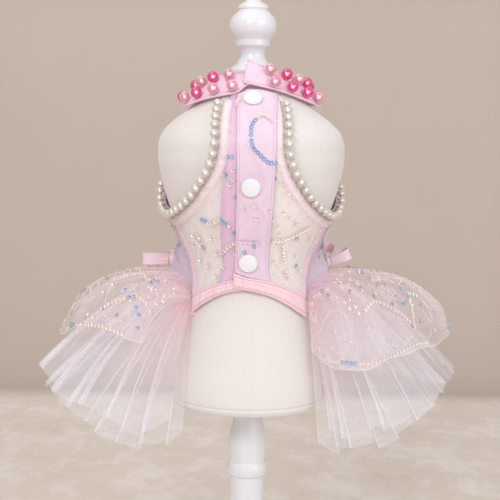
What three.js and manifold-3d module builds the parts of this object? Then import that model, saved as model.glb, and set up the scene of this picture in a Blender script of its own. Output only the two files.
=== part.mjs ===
// A small dog's halter dress with a pleated tulle skirt, shown belly side forward on a limbless
// dress form that stands on a turned wooden column. Millimetres, +Z up, the belly side towards -Y.
// Origin at the centre of the base's underside.
import * as THREE from 'three';
import Module from 'manifold-3d';

const wasm = await Module();
wasm.setup();

// ---------------------------------------------------------------- sizes
const CLOTH = 1.0;              // wall of one layer of bodice cloth
const TULLE = 1.4;              // wall of one pleated skirt layer, measured square to its fall
const BAND = 1.3;               // wall of the interfaced collar band
const LAY = 0.7;                // gap between the form's cover and the first layer of cloth
const PLY = 0.5;                // gap between two layers of cloth that lie on each other
const SEAM = 0.3;               // gap between pieces at a seam
const LAYER_1 = LAY;                            // mesh panels, under placket, side seam tape
const LAYER_2 = LAYER_1 + CLOTH + PLY;          // over placket, bindings, collar
const LAYER_3 = LAYER_2 + CLOTH + PLY;          // snap caps, the lapped end of the hem binding
const COLLAR_PEARL = 4.0;       // radius of the large pearls sewn on the collar
const COLLAR_PEARL_SINK = 1.3;  // how far a large pearl sinks into the band
const COLLAR_PAIRS = 18;        // pairs of large pearls round the collar
const TRIM_PEARL = 3.0;         // radius of the small pearls along the armholes
const TRIM_PITCH = 6.7;         // spacing of the small pearls
const TRIM_THREAD = 0.7;        // radius of the thread between two small pearls
const BINDING_START = 3.1;      // armhole binding, from the armhole edge
const BINDING_WIDTH = 5.6;
const BINDING_CLEAR = 0.8;      // from the binding to the placket, where they run side by side
const TAPE_HALF_TURN = 4.6;     // pink tape on each side seam: half its width, in degrees
const CAP_RADIUS = 6.0;         // snap cap
const CAP_HEIGHT = 1.9;
const RIBBON = 7.9;             // width of the satin ribbon of the bows
const RIBBON_WALL = 1.0;
const SKIRT_PLEATS = { sequin: 34, upper: 46, under: 50 };

// The dress form: half width and half depth at each height.
const FORM_ROWS = [
  { z: 145.0, wide: 48.6, deep: 45.2 },
  { z: 147.0, wide: 50.0, deep: 46.5 },
  { z: 151.0, wide: 50.6, deep: 47.0 },
  { z: 160.0, wide: 50.0, deep: 46.2 },
  { z: 175.0, wide: 47.0, deep: 43.5 },
  { z: 190.0, wide: 43.8, deep: 40.5 },
  { z: 205.0, wide: 40.8, deep: 37.6 },
  { z: 220.0, wide: 38.7, deep: 35.5 },
  { z: 232.0, wide: 38.2, deep: 34.9 },
  { z: 245.0, wide: 40.2, deep: 36.5 },
  { z: 258.0, wide: 45.4, deep: 40.5 },
  { z: 272.0, wide: 51.8, deep: 45.9 },
  { z: 286.0, wide: 56.8, deep: 50.2 },
  { z: 300.0, wide: 60.6, deep: 53.6 },
  { z: 312.0, wide: 62.7, deep: 55.4 },
  { z: 321.0, wide: 62.7, deep: 55.2 },
  { z: 329.0, wide: 60.0, deep: 52.6 },
  { z: 336.0, wide: 53.8, deep: 47.2 },
  { z: 343.0, wide: 44.8, deep: 39.8 },
  { z: 350.0, wide: 36.4, deep: 33.0 },
  { z: 357.0, wide: 28.6, deep: 26.8 },
  { z: 363.0, wide: 21.6, deep: 21.0 },
  { z: 366.4, wide: 17.2, deep: 17.2 },
];

// Turned parts: radius at each height.
const BASE_ROWS = [
  { z: 0.0, r: 79.0 }, { z: 1.5, r: 80.5 }, { z: 9.0, r: 80.5 }, { z: 12.0, r: 78.0 },
  { z: 13.5, r: 72.0 }, { z: 15.5, r: 60.0 }, { z: 17.5, r: 40.0 }, { z: 18.5, r: 24.0 },
  { z: 18.5, r: 0.0 },
];
const COLUMN_ROWS = [
  { z: 18.8, r: 17.0 }, { z: 22.0, r: 17.4 }, { z: 25.0, r: 15.6 }, { z: 28.0, r: 12.4 },
  { z: 34.0, r: 11.6 }, { z: 94.0, r: 11.6 }, { z: 95.0, r: 13.3 }, { z: 97.5, r: 14.1 },
  { z: 100.5, r: 14.1 }, { z: 103.0, r: 13.2 }, { z: 104.2, r: 12.2 }, { z: 107.0, r: 12.6 },
  { z: 113.0, r: 13.2 }, { z: 119.0, r: 12.8 }, { z: 126.0, r: 11.6 }, { z: 133.0, r: 10.0 },
  { z: 138.0, r: 9.5 }, { z: 144.6, r: 9.5 }, { z: 144.6, r: 0.0 },
];
const FINIAL_ROWS = [
  { z: 366.8, r: 15.4 }, { z: 368.4, r: 16.5 }, { z: 370.6, r: 16.5 }, { z: 372.6, r: 14.4 },
  { z: 375.0, r: 10.9 }, { z: 377.6, r: 10.0 }, { z: 378.6, r: 8.8 }, { z: 382.0, r: 8.1 },
  { z: 385.0, r: 9.4 }, { z: 386.8, r: 11.6 }, { z: 390.6, r: 11.6 }, { z: 392.2, r: 12.6 },
  { z: 396.0, r: 15.4 }, { z: 400.2, r: 16.1 }, { z: 404.6, r: 15.2 }, { z: 408.4, r: 12.0 },
  { z: 410.4, r: 9.6 }, { z: 411.6, r: 10.5 }, { z: 413.4, r: 10.2 }, { z: 416.4, r: 5.4 },
  { z: 420.0, r: 5.9 }, { z: 424.0, r: 7.2 }, { z: 428.2, r: 5.9 }, { z: 430.4, r: 3.2 },
  { z: 431.2, r: 0.0 },
];

// How far the back of the bodice hangs clear of the form, below the shoulder blades.
const FLARE_ROWS = [
  { z: 205, out: 19.0 }, { z: 232, out: 16.5 }, { z: 243, out: 13.0 }, { z: 252, out: 7.5 },
  { z: 260, out: 3.2 }, { z: 272, out: 2.1 }, { z: 300, out: 2.0 }, { z: 340, out: 2.0 },
  { z: 356, out: 0.4 }, { z: 370, out: 0.0 },
];
const FLARE_FROM = 78;          // turn at which the back begins to leave the form
const FLARE_FULL = 101;         // turn from which it hangs fully clear

// Turns are degrees round the form from the belly (-Y), towards -X. The left armhole's edge:
// down the front from the collar, under the arm and up the back to the collar again.
const ARMHOLE_ROWS = [
  { turn: 30.0, z: 346.6 }, { turn: 26.4, z: 340.5 }, { turn: 23.4, z: 334.5 },
  { turn: 21.5, z: 328.0 }, { turn: 20.8, z: 320.0 }, { turn: 22.4, z: 312.0 },
  { turn: 26.2, z: 304.0 }, { turn: 31.5, z: 297.0 }, { turn: 38.0, z: 290.0 },
  { turn: 46.0, z: 284.4 }, { turn: 56.0, z: 279.8 }, { turn: 66.0, z: 277.2 },
  { turn: 76.0, z: 276.4 }, { turn: 86.0, z: 277.6 }, { turn: 94.0, z: 281.0 },
  { turn: 100.5, z: 286.4 }, { turn: 107.0, z: 293.0 }, { turn: 115.0, z: 300.4 },
  { turn: 124.0, z: 308.6 }, { turn: 132.0, z: 318.0 }, { turn: 138.5, z: 328.0 },
  { turn: 142.5, z: 336.5 }, { turn: 145.0, z: 343.0 },
];

// The collar band, from its under end at the belly all the way round to the end that laps over.
const COLLAR_ROWS = [
  { low_turn: -4, low: 359.0, high_turn: -4, high: 367.6, lift: 0.0 },
  { low_turn: 8, low: 356.6, high_turn: 8, high: 367.5, lift: 0.0 },
  { low_turn: 16, low: 352.4, high_turn: 17, high: 367.2, lift: 0.0 },
  { low_turn: 30, low: 350.6, high_turn: 31, high: 366.6, lift: 0.0 },
  { low_turn: 50, low: 348.0, high_turn: 51, high: 364.6, lift: 0.0 },
  { low_turn: 72, low: 344.2, high_turn: 72, high: 361.0, lift: 0.0 },
  { low_turn: 95, low: 343.4, high_turn: 95, high: 359.0, lift: 0.0 },
  { low_turn: 135, low: 346.0, high_turn: 135, high: 362.0, lift: 0.0 },
  { low_turn: 180, low: 348.6, high_turn: 180, high: 365.0, lift: 0.0 },
  { low_turn: 225, low: 346.4, high_turn: 225, high: 362.0, lift: 0.0 },
  { low_turn: 265, low: 344.0, high_turn: 265, high: 359.4, lift: 0.0 },
  { low_turn: 288, low: 346.2, high_turn: 289, high: 363.2, lift: 0.0 },
  { low_turn: 311, low: 350.6, high_turn: 310, high: 366.0, lift: 0.0 },
  { low_turn: 330, low: 353.6, high_turn: 329, high: 368.8, lift: 0.7 },
  { low_turn: 349, low: 355.4, high_turn: 348, high: 372.2, lift: 1.7 },
  { low_turn: 360, low: 356.6, high_turn: 358, high: 374.4, lift: 1.8 },
  { low_turn: 372, low: 357.8, high_turn: 365, high: 376.2, lift: 1.8 },
];
const COLLAR_TOP_WIDE = 31.0;   // half width and half depth of the collar's upper edge
const COLLAR_TOP_DEEP = 21.5;

// Belly opening: across the plackets at each height, from the centre line towards +X.
const PLACKET_ROWS = [
  { z: 228.0, under_left: -21.0, over_left: -9.6, over_right: 13.6 },
  { z: 234.0, under_left: -20.4, over_left: -9.6, over_right: 13.0 },
  { z: 247.0, under_left: -18.4, over_left: -9.4, over_right: 11.6 },
  { z: 267.0, under_left: -19.6, over_left: -9.1, over_right: 12.6 },
  { z: 293.0, under_left: -18.4, over_left: -8.8, over_right: 14.5 },
  { z: 324.0, under_left: -16.2, over_left: -9.1, over_right: 15.3 },
  { z: 356.0, under_left: -14.4, over_left: -9.7, over_right: 16.4 },
];
const UNDER_RIGHT = 9.0;        // where the hidden edge of the under placket runs
const PLACKET_TOP = [
  { x: -10, z: 351.4 }, { x: -6, z: 353.4 }, { x: -2, z: 355.2 }, { x: 3, z: 355.4 },
  { x: 9, z: 354.2 }, { x: 17, z: 352.4 },
];
const SNAPS = [{ x: 0.5, z: 348.6 }, { x: 0.0, z: 295.5 }, { x: -1.0, z: 246.0 }];

// Mesh front panels: heights of each row at the placket and at the armhole or side seam.
const PANEL_ROWS = [
  { inner: 354.5, outer: 352.0, turn: 33.0 }, { inner: 347.0, outer: 346.0, turn: 29.6 },
  { inner: 341.5, outer: 341.0, turn: 26.8 }, { inner: 337.0, outer: 336.8, turn: 24.4 },
  { inner: 333.0, outer: 333.0, turn: 23.0 }, { inner: 329.0, outer: 329.0, turn: 21.8 },
  { inner: 324.5, outer: 324.5, turn: 21.0 }, { inner: 318.0, outer: 318.0, turn: 21.0 },
  { inner: 309.0, outer: 309.5, turn: 23.4 }, { inner: 299.0, outer: 300.0, turn: 29.1 },
  { inner: 289.0, outer: 291.0, turn: 37.0 }, { inner: 280.0, outer: 284.4, turn: 46.0 },
  { inner: 271.5, outer: 279.2, turn: 58.5 }, { inner: 264.0, outer: 275.0, turn: 72.8 },
  { inner: 256.0, outer: 263.0, turn: 71.5 }, { inner: 248.5, outer: 252.0, turn: 70.2 },
  { inner: 241.5, outer: 241.0, turn: 68.7 }, { inner: 235.5, outer: 231.5, turn: 67.4 },
  { inner: 230.0, outer: 221.5, turn: 66.0 }, { inner: 225.0, outer: 211.5, turn: 64.6 },
];
// The arched hem binding: heights of its two edges; the right strip laps over the left one.
const HEM_LEFT_ROWS = [
  { turn: 2, top: 235.4, foot: 227.4, lift: 0.0 }, { turn: 15, top: 233.8, foot: 226.0, lift: 0.0 },
  { turn: 28, top: 231.2, foot: 223.2, lift: 0.0 }, { turn: 42, top: 227.8, foot: 218.2, lift: 0.0 },
  { turn: 54, top: 224.2, foot: 213.2, lift: 0.0 }, { turn: 63, top: 221.4, foot: 209.2, lift: 0.0 },
];
const HEM_RIGHT_ROWS = [
  { turn: 14, top: 239.0, foot: 228.2, lift: 1.5 }, { turn: 0, top: 235.8, foot: 226.8, lift: 1.5 },
  { turn: -9, top: 234.6, foot: 225.2, lift: 0.5 }, { turn: -21, top: 232.6, foot: 222.4, lift: 0.0 },
  { turn: -37, top: 228.6, foot: 216.8, lift: 0.0 }, { turn: -50, top: 225.0, foot: 211.2, lift: 0.0 },
  { turn: -62, top: 221.2, foot: 206.8, lift: 0.0 },
];
const SEAM_TURN = 0.5;           // a seam's gap beside the tape, in degrees
const SIDE_SEAM_TOP = { turn: 76.4, z: 276.0 };
const SIDE_SEAM_FOOT = { turn: 67.6, z: 207.0 };

// The skirt's seam: from the hem's corner up to the back of the waist, both sides alike.
const SEAM_ROWS = [
  { turn: 67, z: 208.5 }, { turn: 72, z: 214.5 }, { turn: 78, z: 220.0 }, { turn: 85, z: 225.0 },
  { turn: 94, z: 228.5 }, { turn: 105, z: 229.5 }, { turn: 125, z: 230.0 }, { turn: 150, z: 231.0 },
  { turn: 180, z: 231.5 }, { turn: 210, z: 231.0 }, { turn: 235, z: 230.0 }, { turn: 255, z: 229.5 },
  { turn: 266, z: 228.5 }, { turn: 275, z: 225.0 }, { turn: 282, z: 220.0 }, { turn: 288, z: 214.5 },
  { turn: 293, z: 208.5 },
];
// Each skirt layer, a row for each large fold: where it leaves the seam, which way its hem lies,
// how far out and how high, and how its fall bows: share of the reach and height over the seam.
const SEQUIN_ROWS = [
  { turn: 67, hem_turn: 61, reach: 80, hem_z: 192, share: 0.66, rise: 6 },
  { turn: 70.5, hem_turn: 63, reach: 92, hem_z: 197, share: 0.74, rise: 11 },
  { turn: 75, hem_turn: 68, reach: 105, hem_z: 202, share: 0.78, rise: 13 },
  { turn: 81, hem_turn: 77, reach: 117, hem_z: 200, share: 0.82, rise: 12 },
  { turn: 88, hem_turn: 86, reach: 126, hem_z: 191, share: 0.84, rise: 8 },
  { turn: 97, hem_turn: 95, reach: 132, hem_z: 189, share: 0.82, rise: 5 },
  { turn: 110, hem_turn: 109, reach: 133, hem_z: 190, share: 0.8, rise: 3 },
  { turn: 128, hem_turn: 127, reach: 127, hem_z: 189, share: 0.76, rise: 1 },
  { turn: 150, hem_turn: 149, reach: 127, hem_z: 188, share: 0.74, rise: 0 },
  { turn: 172, hem_turn: 172, reach: 123, hem_z: 186, share: 0.74, rise: 0 },
  { turn: 195, hem_turn: 196, reach: 125, hem_z: 187, share: 0.74, rise: 0 },
  { turn: 218, hem_turn: 220, reach: 127, hem_z: 188, share: 0.75, rise: 0 },
  { turn: 238, hem_turn: 240, reach: 132, hem_z: 191, share: 0.8, rise: 2 },
  { turn: 254, hem_turn: 255, reach: 136, hem_z: 193, share: 0.84, rise: 5 },
  { turn: 264, hem_turn: 266, reach: 139, hem_z: 195, share: 0.88, rise: 8 },
  { turn: 272, hem_turn: 274, reach: 130, hem_z: 188, share: 0.86, rise: 10 },
  { turn: 278, hem_turn: 284, reach: 115, hem_z: 189, share: 0.84, rise: 14 },
  { turn: 283, hem_turn: 293, reach: 100, hem_z: 182, share: 0.82, rise: 16 },
  { turn: 287, hem_turn: 301, reach: 84, hem_z: 177, share: 0.8, rise: 16 },
  { turn: 290, hem_turn: 307, reach: 68, hem_z: 178, share: 0.74, rise: 11 },
  { turn: 293, hem_turn: 310, reach: 54, hem_z: 186, share: 0.66, rise: 2 },
];
const UPPER_ROWS = [
  { turn: 67, hem_turn: 52, reach: 64, hem_z: 142, share: 0.58, rise: -18 },
  { turn: 71, hem_turn: 57, reach: 82, hem_z: 135, share: 0.58, rise: -16 },
  { turn: 77, hem_turn: 65, reach: 107, hem_z: 143, share: 0.55, rise: -13 },
  { turn: 84, hem_turn: 77, reach: 126, hem_z: 152, share: 0.5, rise: -14 },
  { turn: 93, hem_turn: 90, reach: 145, hem_z: 168, share: 0.48, rise: -14 },
  { turn: 108, hem_turn: 106, reach: 147, hem_z: 164, share: 0.48, rise: -15 },
  { turn: 130, hem_turn: 129, reach: 143, hem_z: 161, share: 0.48, rise: -15 },
  { turn: 155, hem_turn: 154, reach: 139, hem_z: 158, share: 0.48, rise: -15 },
  { turn: 180, hem_turn: 181, reach: 137, hem_z: 156, share: 0.48, rise: -15 },
  { turn: 205, hem_turn: 206, reach: 139, hem_z: 158, share: 0.48, rise: -15 },
  { turn: 230, hem_turn: 231, reach: 142, hem_z: 160, share: 0.48, rise: -15 },
  { turn: 252, hem_turn: 254, reach: 146, hem_z: 165, share: 0.48, rise: -14 },
  { turn: 267, hem_turn: 270, reach: 141, hem_z: 167, share: 0.48, rise: -14 },
  { turn: 276, hem_turn: 283, reach: 122, hem_z: 150, share: 0.5, rise: -14 },
  { turn: 283, hem_turn: 294, reach: 100, hem_z: 138, share: 0.52, rise: -15 },
  { turn: 289, hem_turn: 302, reach: 80, hem_z: 132, share: 0.55, rise: -18 },
  { turn: 293, hem_turn: 308, reach: 68, hem_z: 136, share: 0.55, rise: -20 },
];
const UNDER_ROWS = [
  { turn: 67, hem_turn: 51, reach: 55, hem_z: 134, share: 0.46, rise: -30 },
  { turn: 71, hem_turn: 57, reach: 72, hem_z: 123, share: 0.48, rise: -30 },
  { turn: 77, hem_turn: 65.5, reach: 97, hem_z: 130, share: 0.46, rise: -28 },
  { turn: 84, hem_turn: 75, reach: 119, hem_z: 142, share: 0.44, rise: -25 },
  { turn: 93, hem_turn: 90, reach: 138, hem_z: 156, share: 0.42, rise: -25 },
  { turn: 108, hem_turn: 106, reach: 140, hem_z: 153, share: 0.42, rise: -26 },
  { turn: 130, hem_turn: 129, reach: 136, hem_z: 150, share: 0.42, rise: -26 },
  { turn: 155, hem_turn: 154, reach: 132, hem_z: 147, share: 0.42, rise: -26 },
  { turn: 180, hem_turn: 181, reach: 130, hem_z: 145, share: 0.42, rise: -26 },
  { turn: 205, hem_turn: 206, reach: 132, hem_z: 147, share: 0.42, rise: -26 },
  { turn: 230, hem_turn: 231, reach: 135, hem_z: 149, share: 0.42, rise: -26 },
  { turn: 252, hem_turn: 254, reach: 139, hem_z: 153, share: 0.42, rise: -25 },
  { turn: 267, hem_turn: 270, reach: 134, hem_z: 155, share: 0.42, rise: -25 },
  { turn: 276, hem_turn: 284, reach: 116, hem_z: 139, share: 0.44, rise: -25 },
  { turn: 283, hem_turn: 295, reach: 95, hem_z: 127, share: 0.46, rise: -26 },
  { turn: 289, hem_turn: 303, reach: 73, hem_z: 122, share: 0.5, rise: -30 },
  { turn: 293, hem_turn: 309, reach: 60, hem_z: 128, share: 0.5, rise: -32 },
];
const LAYERS = {
  sequin: { rows: SEQUIN_ROWS, courses: 4, over_seam: 5.6, root_depth: 0.03, hem_depth: 1.2 },
  upper: { rows: UPPER_ROWS, courses: 3, over_seam: 3.2, root_depth: 0.03, hem_depth: 2.2 },
  under: { rows: UNDER_ROWS, courses: 3, over_seam: 0.8, root_depth: 0.03, hem_depth: 2.6 },
};

// Colours
const PAINT = { color: 0xf4f2f3, roughness: 0.25 };
const COVER = { color: 0xf0e9e4, roughness: 0.9 };
const LILAC = { color: 0xf0d9ea, roughness: 0.55 };
const PINK_BAND = { color: 0xf2c6d6, roughness: 0.7 };
const SALMON = { color: 0xedb2bf, roughness: 0.6 };
const MESH_CLOTH = { color: 0xece0e2, roughness: 0.8 };
const TULLE_CLOTH = { color: 0xdcd4d7, roughness: 0.85 };
const PEARL = { color: 0xf3ece6, roughness: 0.2 };
const SATIN = { color: 0xf3b8cb, roughness: 0.35 };
const CAP = { color: 0xf6f6f8, roughness: 0.2 };

// ---------------------------------------------------------------- helpers
const RAD = Math.PI / 180;
const group = new THREE.Group();
group.name = 'dog_tulle_dress_on_dress_form';

function addMesh(name, geometry, look) {
  const material = new THREE.MeshStandardMaterial({
    color: look.color,
    roughness: look.roughness,
    metalness: 0,
  });
  const mesh = new THREE.Mesh(geometry, material);
  mesh.name = name;
  group.add(mesh);
  return mesh;
}

function smoothstep(from, to, x) {
  const t = Math.min(1, Math.max(0, (x - from) / (to - from)));
  return t * t * (3 - 2 * t);
}

// The value of a column at a place between the rows, on a smooth curve that does not overshoot.
function read(rows, by, column, at) {
  const rising = rows[rows.length - 1][by] > rows[0][by];
  const order = rising ? rows : [...rows].reverse();
  if (at <= order[0][by]) return order[0][column];
  const last = order.length - 1;
  if (at >= order[last][by]) return order[last][column];
  let i = 0;
  while (at > order[i + 1][by]) i += 1;
  const gapAt = (k) => order[k + 1][by] - order[k][by];
  const slopeAt = (k) => (order[k + 1][column] - order[k][column]) / gapAt(k);
  const tangentAt = (k) => {
    if (k === 0) return slopeAt(0);
    if (k === last) return slopeAt(last - 1);
    const before = slopeAt(k - 1);
    const after = slopeAt(k);
    return before * after <= 0 ? 0 : (2 * before * after) / (before + after);
  };
  const gap = gapAt(i);
  const t = (at - order[i][by]) / gap;
  const s = 1 - t;
  return (
    order[i][column] * s * s * (1 + 2 * t) +
    order[i + 1][column] * t * t * (3 - 2 * t) +
    gap * s * t * (tangentAt(i) * s - tangentAt(i + 1) * t)
  );
}

// A curve through all the rows of a table by share of its rows, for tables that turn back.
function along(rows, columns, share) {
  const place = Math.min(rows.length - 1 - 1e-9, Math.max(0, share * (rows.length - 1)));
  const i = Math.floor(place);
  const t = place - i;
  const result = {};
  columns.forEach((column) => {
    const p0 = rows[Math.max(0, i - 1)][column];
    const p1 = rows[i][column];
    const p2 = rows[i + 1][column];
    const p3 = rows[Math.min(rows.length - 1, i + 2)][column];
    result[column] = 0.5 * (2 * p1 + (p2 - p0) * t + (2 * p0 - 5 * p1 + 4 * p2 - p3) * t * t +
      (3 * p1 - p0 - 3 * p2 + p3) * t * t * t);
  });
  return result;
}

// Turns a surface of revolution or a list of quads into a closed body with its faces outwards.
function bodyFrom(points, triangles) {
  let volume = 0;
  const cross = new THREE.Vector3();
  triangles.forEach(([a, b, c]) => {
    volume += cross.crossVectors(points[a], points[b]).dot(points[c]);
  });
  const positions = points.flatMap((p) => [p.x, p.y, p.z]);
  const index = triangles.flatMap(([a, b, c]) => (volume < 0 ? [a, c, b] : [a, b, c]));
  const geometry = new THREE.BufferGeometry();
  geometry.setAttribute('position', new THREE.Float32BufferAttribute(positions, 3));
  geometry.setIndex(index);
  geometry.computeVertexNormals();
  return geometry;
}

// A wall of cloth: pointAt(across, down, side) gives its inner face (side 0) and outer face
// (side 1); the two faces are joined round the edges.
function wall(columns, rows, pointAt) {
  const points = [];
  const stride = (columns + 1) * (rows + 1);
  [0, 1].forEach((side) => {
    for (let j = 0; j <= rows; j += 1) {
      for (let i = 0; i <= columns; i += 1) points.push(pointAt(i / columns, j / rows, side));
    }
  });
  const at = (i, j, side) => side * stride + j * (columns + 1) + i;
  const triangles = [];
  const quad = (a, b, c, d) => triangles.push([a, b, c], [a, c, d]);
  for (let j = 0; j < rows; j += 1) {
    for (let i = 0; i < columns; i += 1) {
      quad(at(i, j, 1), at(i + 1, j, 1), at(i + 1, j + 1, 1), at(i, j + 1, 1));
      quad(at(i, j, 0), at(i, j + 1, 0), at(i + 1, j + 1, 0), at(i + 1, j, 0));
    }
  }
  for (let i = 0; i < columns; i += 1) {
    quad(at(i, 0, 0), at(i + 1, 0, 0), at(i + 1, 0, 1), at(i, 0, 1));
    quad(at(i, rows, 1), at(i + 1, rows, 1), at(i + 1, rows, 0), at(i, rows, 0));
  }
  for (let j = 0; j < rows; j += 1) {
    quad(at(0, j, 1), at(0, j + 1, 1), at(0, j + 1, 0), at(0, j, 0));
    quad(at(columns, j, 0), at(columns, j + 1, 0), at(columns, j + 1, 1), at(columns, j, 1));
  }
  return bodyFrom(points, triangles);
}

// A round bar of changing thickness: rings of points closed by a point at each end.
function ringStack(rings, start, end) {
  const sides = rings[0].length;
  const points = [start, ...rings.flat(), end];
  const at = (k, i) => 1 + k * sides + (i % sides);
  const triangles = [];
  for (let i = 0; i < sides; i += 1) {
    triangles.push([0, at(0, i + 1), at(0, i)]);
    triangles.push([points.length - 1, at(rings.length - 1, i), at(rings.length - 1, i + 1)]);
    for (let k = 0; k < rings.length - 1; k += 1) {
      triangles.push([at(k, i), at(k, i + 1), at(k + 1, i + 1)]);
      triangles.push([at(k, i), at(k + 1, i + 1), at(k + 1, i)]);
    }
  }
  return bodyFrom(points, triangles);
}

function turned(rows, sides) {
  const profile = [new THREE.Vector2(0, rows[0].z), ...rows.map((row) => new THREE.Vector2(row.r, row.z))];
  const rings = profile.slice(1, -1).map((p) => {
    const ring = [];
    for (let i = 0; i < sides; i += 1) {
      const angle = (i / sides) * 2 * Math.PI;
      ring.push(new THREE.Vector3(p.x * Math.cos(angle), p.x * Math.sin(angle), p.y));
    }
    return ring;
  });
  const tip = profile[profile.length - 1];
  return ringStack(rings, new THREE.Vector3(0, 0, profile[0].y), new THREE.Vector3(0, 0, tip.y));
}

function toManifold(geometry) {
  const mesh = new wasm.Mesh({
    numProp: 3,
    vertProperties: new Float32Array(geometry.attributes.position.array),
    triVerts: new Uint32Array(geometry.index.array),
  });
  mesh.merge();
  return new wasm.Manifold(mesh);
}

function fromManifold(solid) {
  const mesh = solid.getMesh();
  const geometry = new THREE.BufferGeometry();
  geometry.setAttribute('position', new THREE.Float32BufferAttribute(mesh.vertProperties, 3));
  geometry.setIndex(Array.from(mesh.triVerts));
  geometry.computeVertexNormals();
  return geometry;
}

// ---------------------------------------------------------------- the form's surface
function onForm(turn, z) {
  const wide = read(FORM_ROWS, 'z', 'wide', z);
  const deep = read(FORM_ROWS, 'z', 'deep', z);
  return new THREE.Vector3(-wide * Math.sin(turn * RAD), -deep * Math.cos(turn * RAD), z);
}

function formNormal(turn, z) {
  const round = onForm(turn + 0.5, z).sub(onForm(turn - 0.5, z));
  const up = onForm(turn, z + 0.5).sub(onForm(turn, z - 0.5));
  return new THREE.Vector3().crossVectors(up, round).normalize();
}

function flare(turn, z) {
  const whole = ((turn % 360) + 360) % 360;
  const folded = whole > 180 ? 360 - whole : whole;
  return read(FLARE_ROWS, 'z', 'out', z) * smoothstep(FLARE_FROM, FLARE_FULL, folded);
}

// A point of the cloth, at a distance out from the form or from the hang of the back.
function onCloth(turn, z, out) {
  const normal = formNormal(turn, z);
  return onForm(turn, z).addScaledVector(normal, out + flare(turn, z));
}

// The same, where the point itself, and not its foot on the form, is at the height z.
function onClothAt(turn, z, out) {
  let foot = z;
  for (let k = 0; k < 6; k += 1) foot += z - onCloth(turn, foot, out).z;
  return onCloth(turn, foot, out);
}

// The turn of a point of the belly side at a distance x from the centre line.
function turnAt(x, z) {
  return -Math.asin(x / (read(FORM_ROWS, 'z', 'wide', z) + LAYER_2)) / RAD;
}

// Moves a place on the cloth by a distance along a direction that lies in the cloth.
function slide(turn, z, direction, distance) {
  const here = onCloth(turn, z, 0);
  const round = onCloth(turn + 1, z, 0).sub(here);
  const up = onCloth(turn, z + 1, 0).sub(here);
  const a = round.dot(round);
  const b = round.dot(up);
  const c = up.dot(up);
  const p = round.dot(direction) * distance;
  const q = up.dot(direction) * distance;
  const whole = a * c - b * b;
  return { turn: turn + (p * c - q * b) / whole, z: z + (q * a - p * b) / whole };
}

// ---------------------------------------------------------------- stand and form
addMesh('stand_base', turned(BASE_ROWS, 32), PAINT);
addMesh('stand_column', turned(COLUMN_ROWS, 18), PAINT);
addMesh('neck_finial', turned(FINIAL_ROWS, 18), PAINT);

const FORM_STEPS = [
  145, 147, 152, 164, 178, 192, 204, 213, 220, 226, 232, 238, 244, 251, 260, 271, 284, 298, 310,
  319, 326, 332, 338, 345, 352, 359, 366.4,
];
const FORM_SIDES = 30;
const formRings = FORM_STEPS.map((z) => {
  const ring = [];
  for (let i = 0; i < FORM_SIDES; i += 1) ring.push(onForm((i * 360) / FORM_SIDES, z));
  return ring;
});
addMesh('form_torso', ringStack(formRings, new THREE.Vector3(0, 0, 145),
  new THREE.Vector3(0, 0, 366.4)), COVER);

// ---------------------------------------------------------------- collar with its large pearls
function collarPoint(share, up, side) {
  const row = along(COLLAR_ROWS, ['low_turn', 'low', 'high_turn', 'high', 'lift'], share);
  const low = onCloth(row.low_turn, row.low, LAYER_2 + 0.2 + row.lift);
  const angle = row.high_turn * RAD;
  const wide = COLLAR_TOP_WIDE + row.lift;
  const deep = COLLAR_TOP_DEEP + row.lift;
  const high = new THREE.Vector3(-wide * Math.sin(angle), -deep * Math.cos(angle), row.high);
  const rise = high.clone().sub(low);
  const round = new THREE.Vector3(-Math.cos(angle), Math.sin(angle), 0);
  const outward = new THREE.Vector3().crossVectors(rise, round).normalize();
  const belly = 1.1 * Math.sin(Math.PI * up);
  return low.addScaledVector(rise, up).addScaledVector(outward, belly + side * BAND);
}

function collarShareAt(turn) {
  let share = 0;
  while (share < 1 && along(COLLAR_ROWS, ['low_turn'], share).low_turn < turn) share += 0.002;
  return share;
}

const collarBand = wall(40, 2, collarPoint);
const collarPieces = [toManifold(collarBand)];
for (let k = 0; k < COLLAR_PAIRS; k += 1) {
  const turn = 21 + (k * 318) / (COLLAR_PAIRS - 1);
  [0.2, 0.76].forEach((up, row) => {
    const share = collarShareAt(turn + (row ? 3 : -2));
    const outer = collarPoint(share, up, 1);
    const outward = outer.clone().sub(collarPoint(share, up, 0)).normalize();
    const centre = outer.addScaledVector(outward, COLLAR_PEARL - COLLAR_PEARL_SINK);
    const rings = [];
    for (let j = 1; j < 4; j += 1) {
      const ring = [];
      const tilt = (j / 4) * Math.PI;
      for (let i = 0; i < 6; i += 1) {
        const spin = ((i + 0.5 * (j % 2)) / 6) * 2 * Math.PI;
        ring.push(new THREE.Vector3(
          centre.x + COLLAR_PEARL * Math.sin(tilt) * Math.cos(spin),
          centre.y + COLLAR_PEARL * Math.sin(tilt) * Math.sin(spin),
          centre.z - COLLAR_PEARL * Math.cos(tilt),
        ));
      }
      rings.push(ring);
    }
    const foot = new THREE.Vector3(centre.x, centre.y, centre.z - COLLAR_PEARL);
    const crown = new THREE.Vector3(centre.x, centre.y, centre.z + COLLAR_PEARL);
    collarPieces.push(toManifold(ringStack(rings, foot, crown)));
  });
}
addMesh('collar', fromManifold(wasm.Manifold.union(collarPieces)), PINK_BAND);

// ---------------------------------------------------------------- plackets and snap caps
const ACROSS_Z = (fromZ, toZ, share) => fromZ + (toZ - fromZ) * share;
const PANEL_STEPS = PANEL_ROWS.length - 1;

// Heights between two edges, spaced like the rows of the front panels.
function panelHeight(foot, top, share) {
  const first = PANEL_ROWS[PANEL_STEPS].inner;
  const last = PANEL_ROWS[0].inner;
  const here = along(PANEL_ROWS, ['inner'], 1 - share).inner;
  return foot + ((top - foot) * (here - first)) / (last - first);
}

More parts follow.
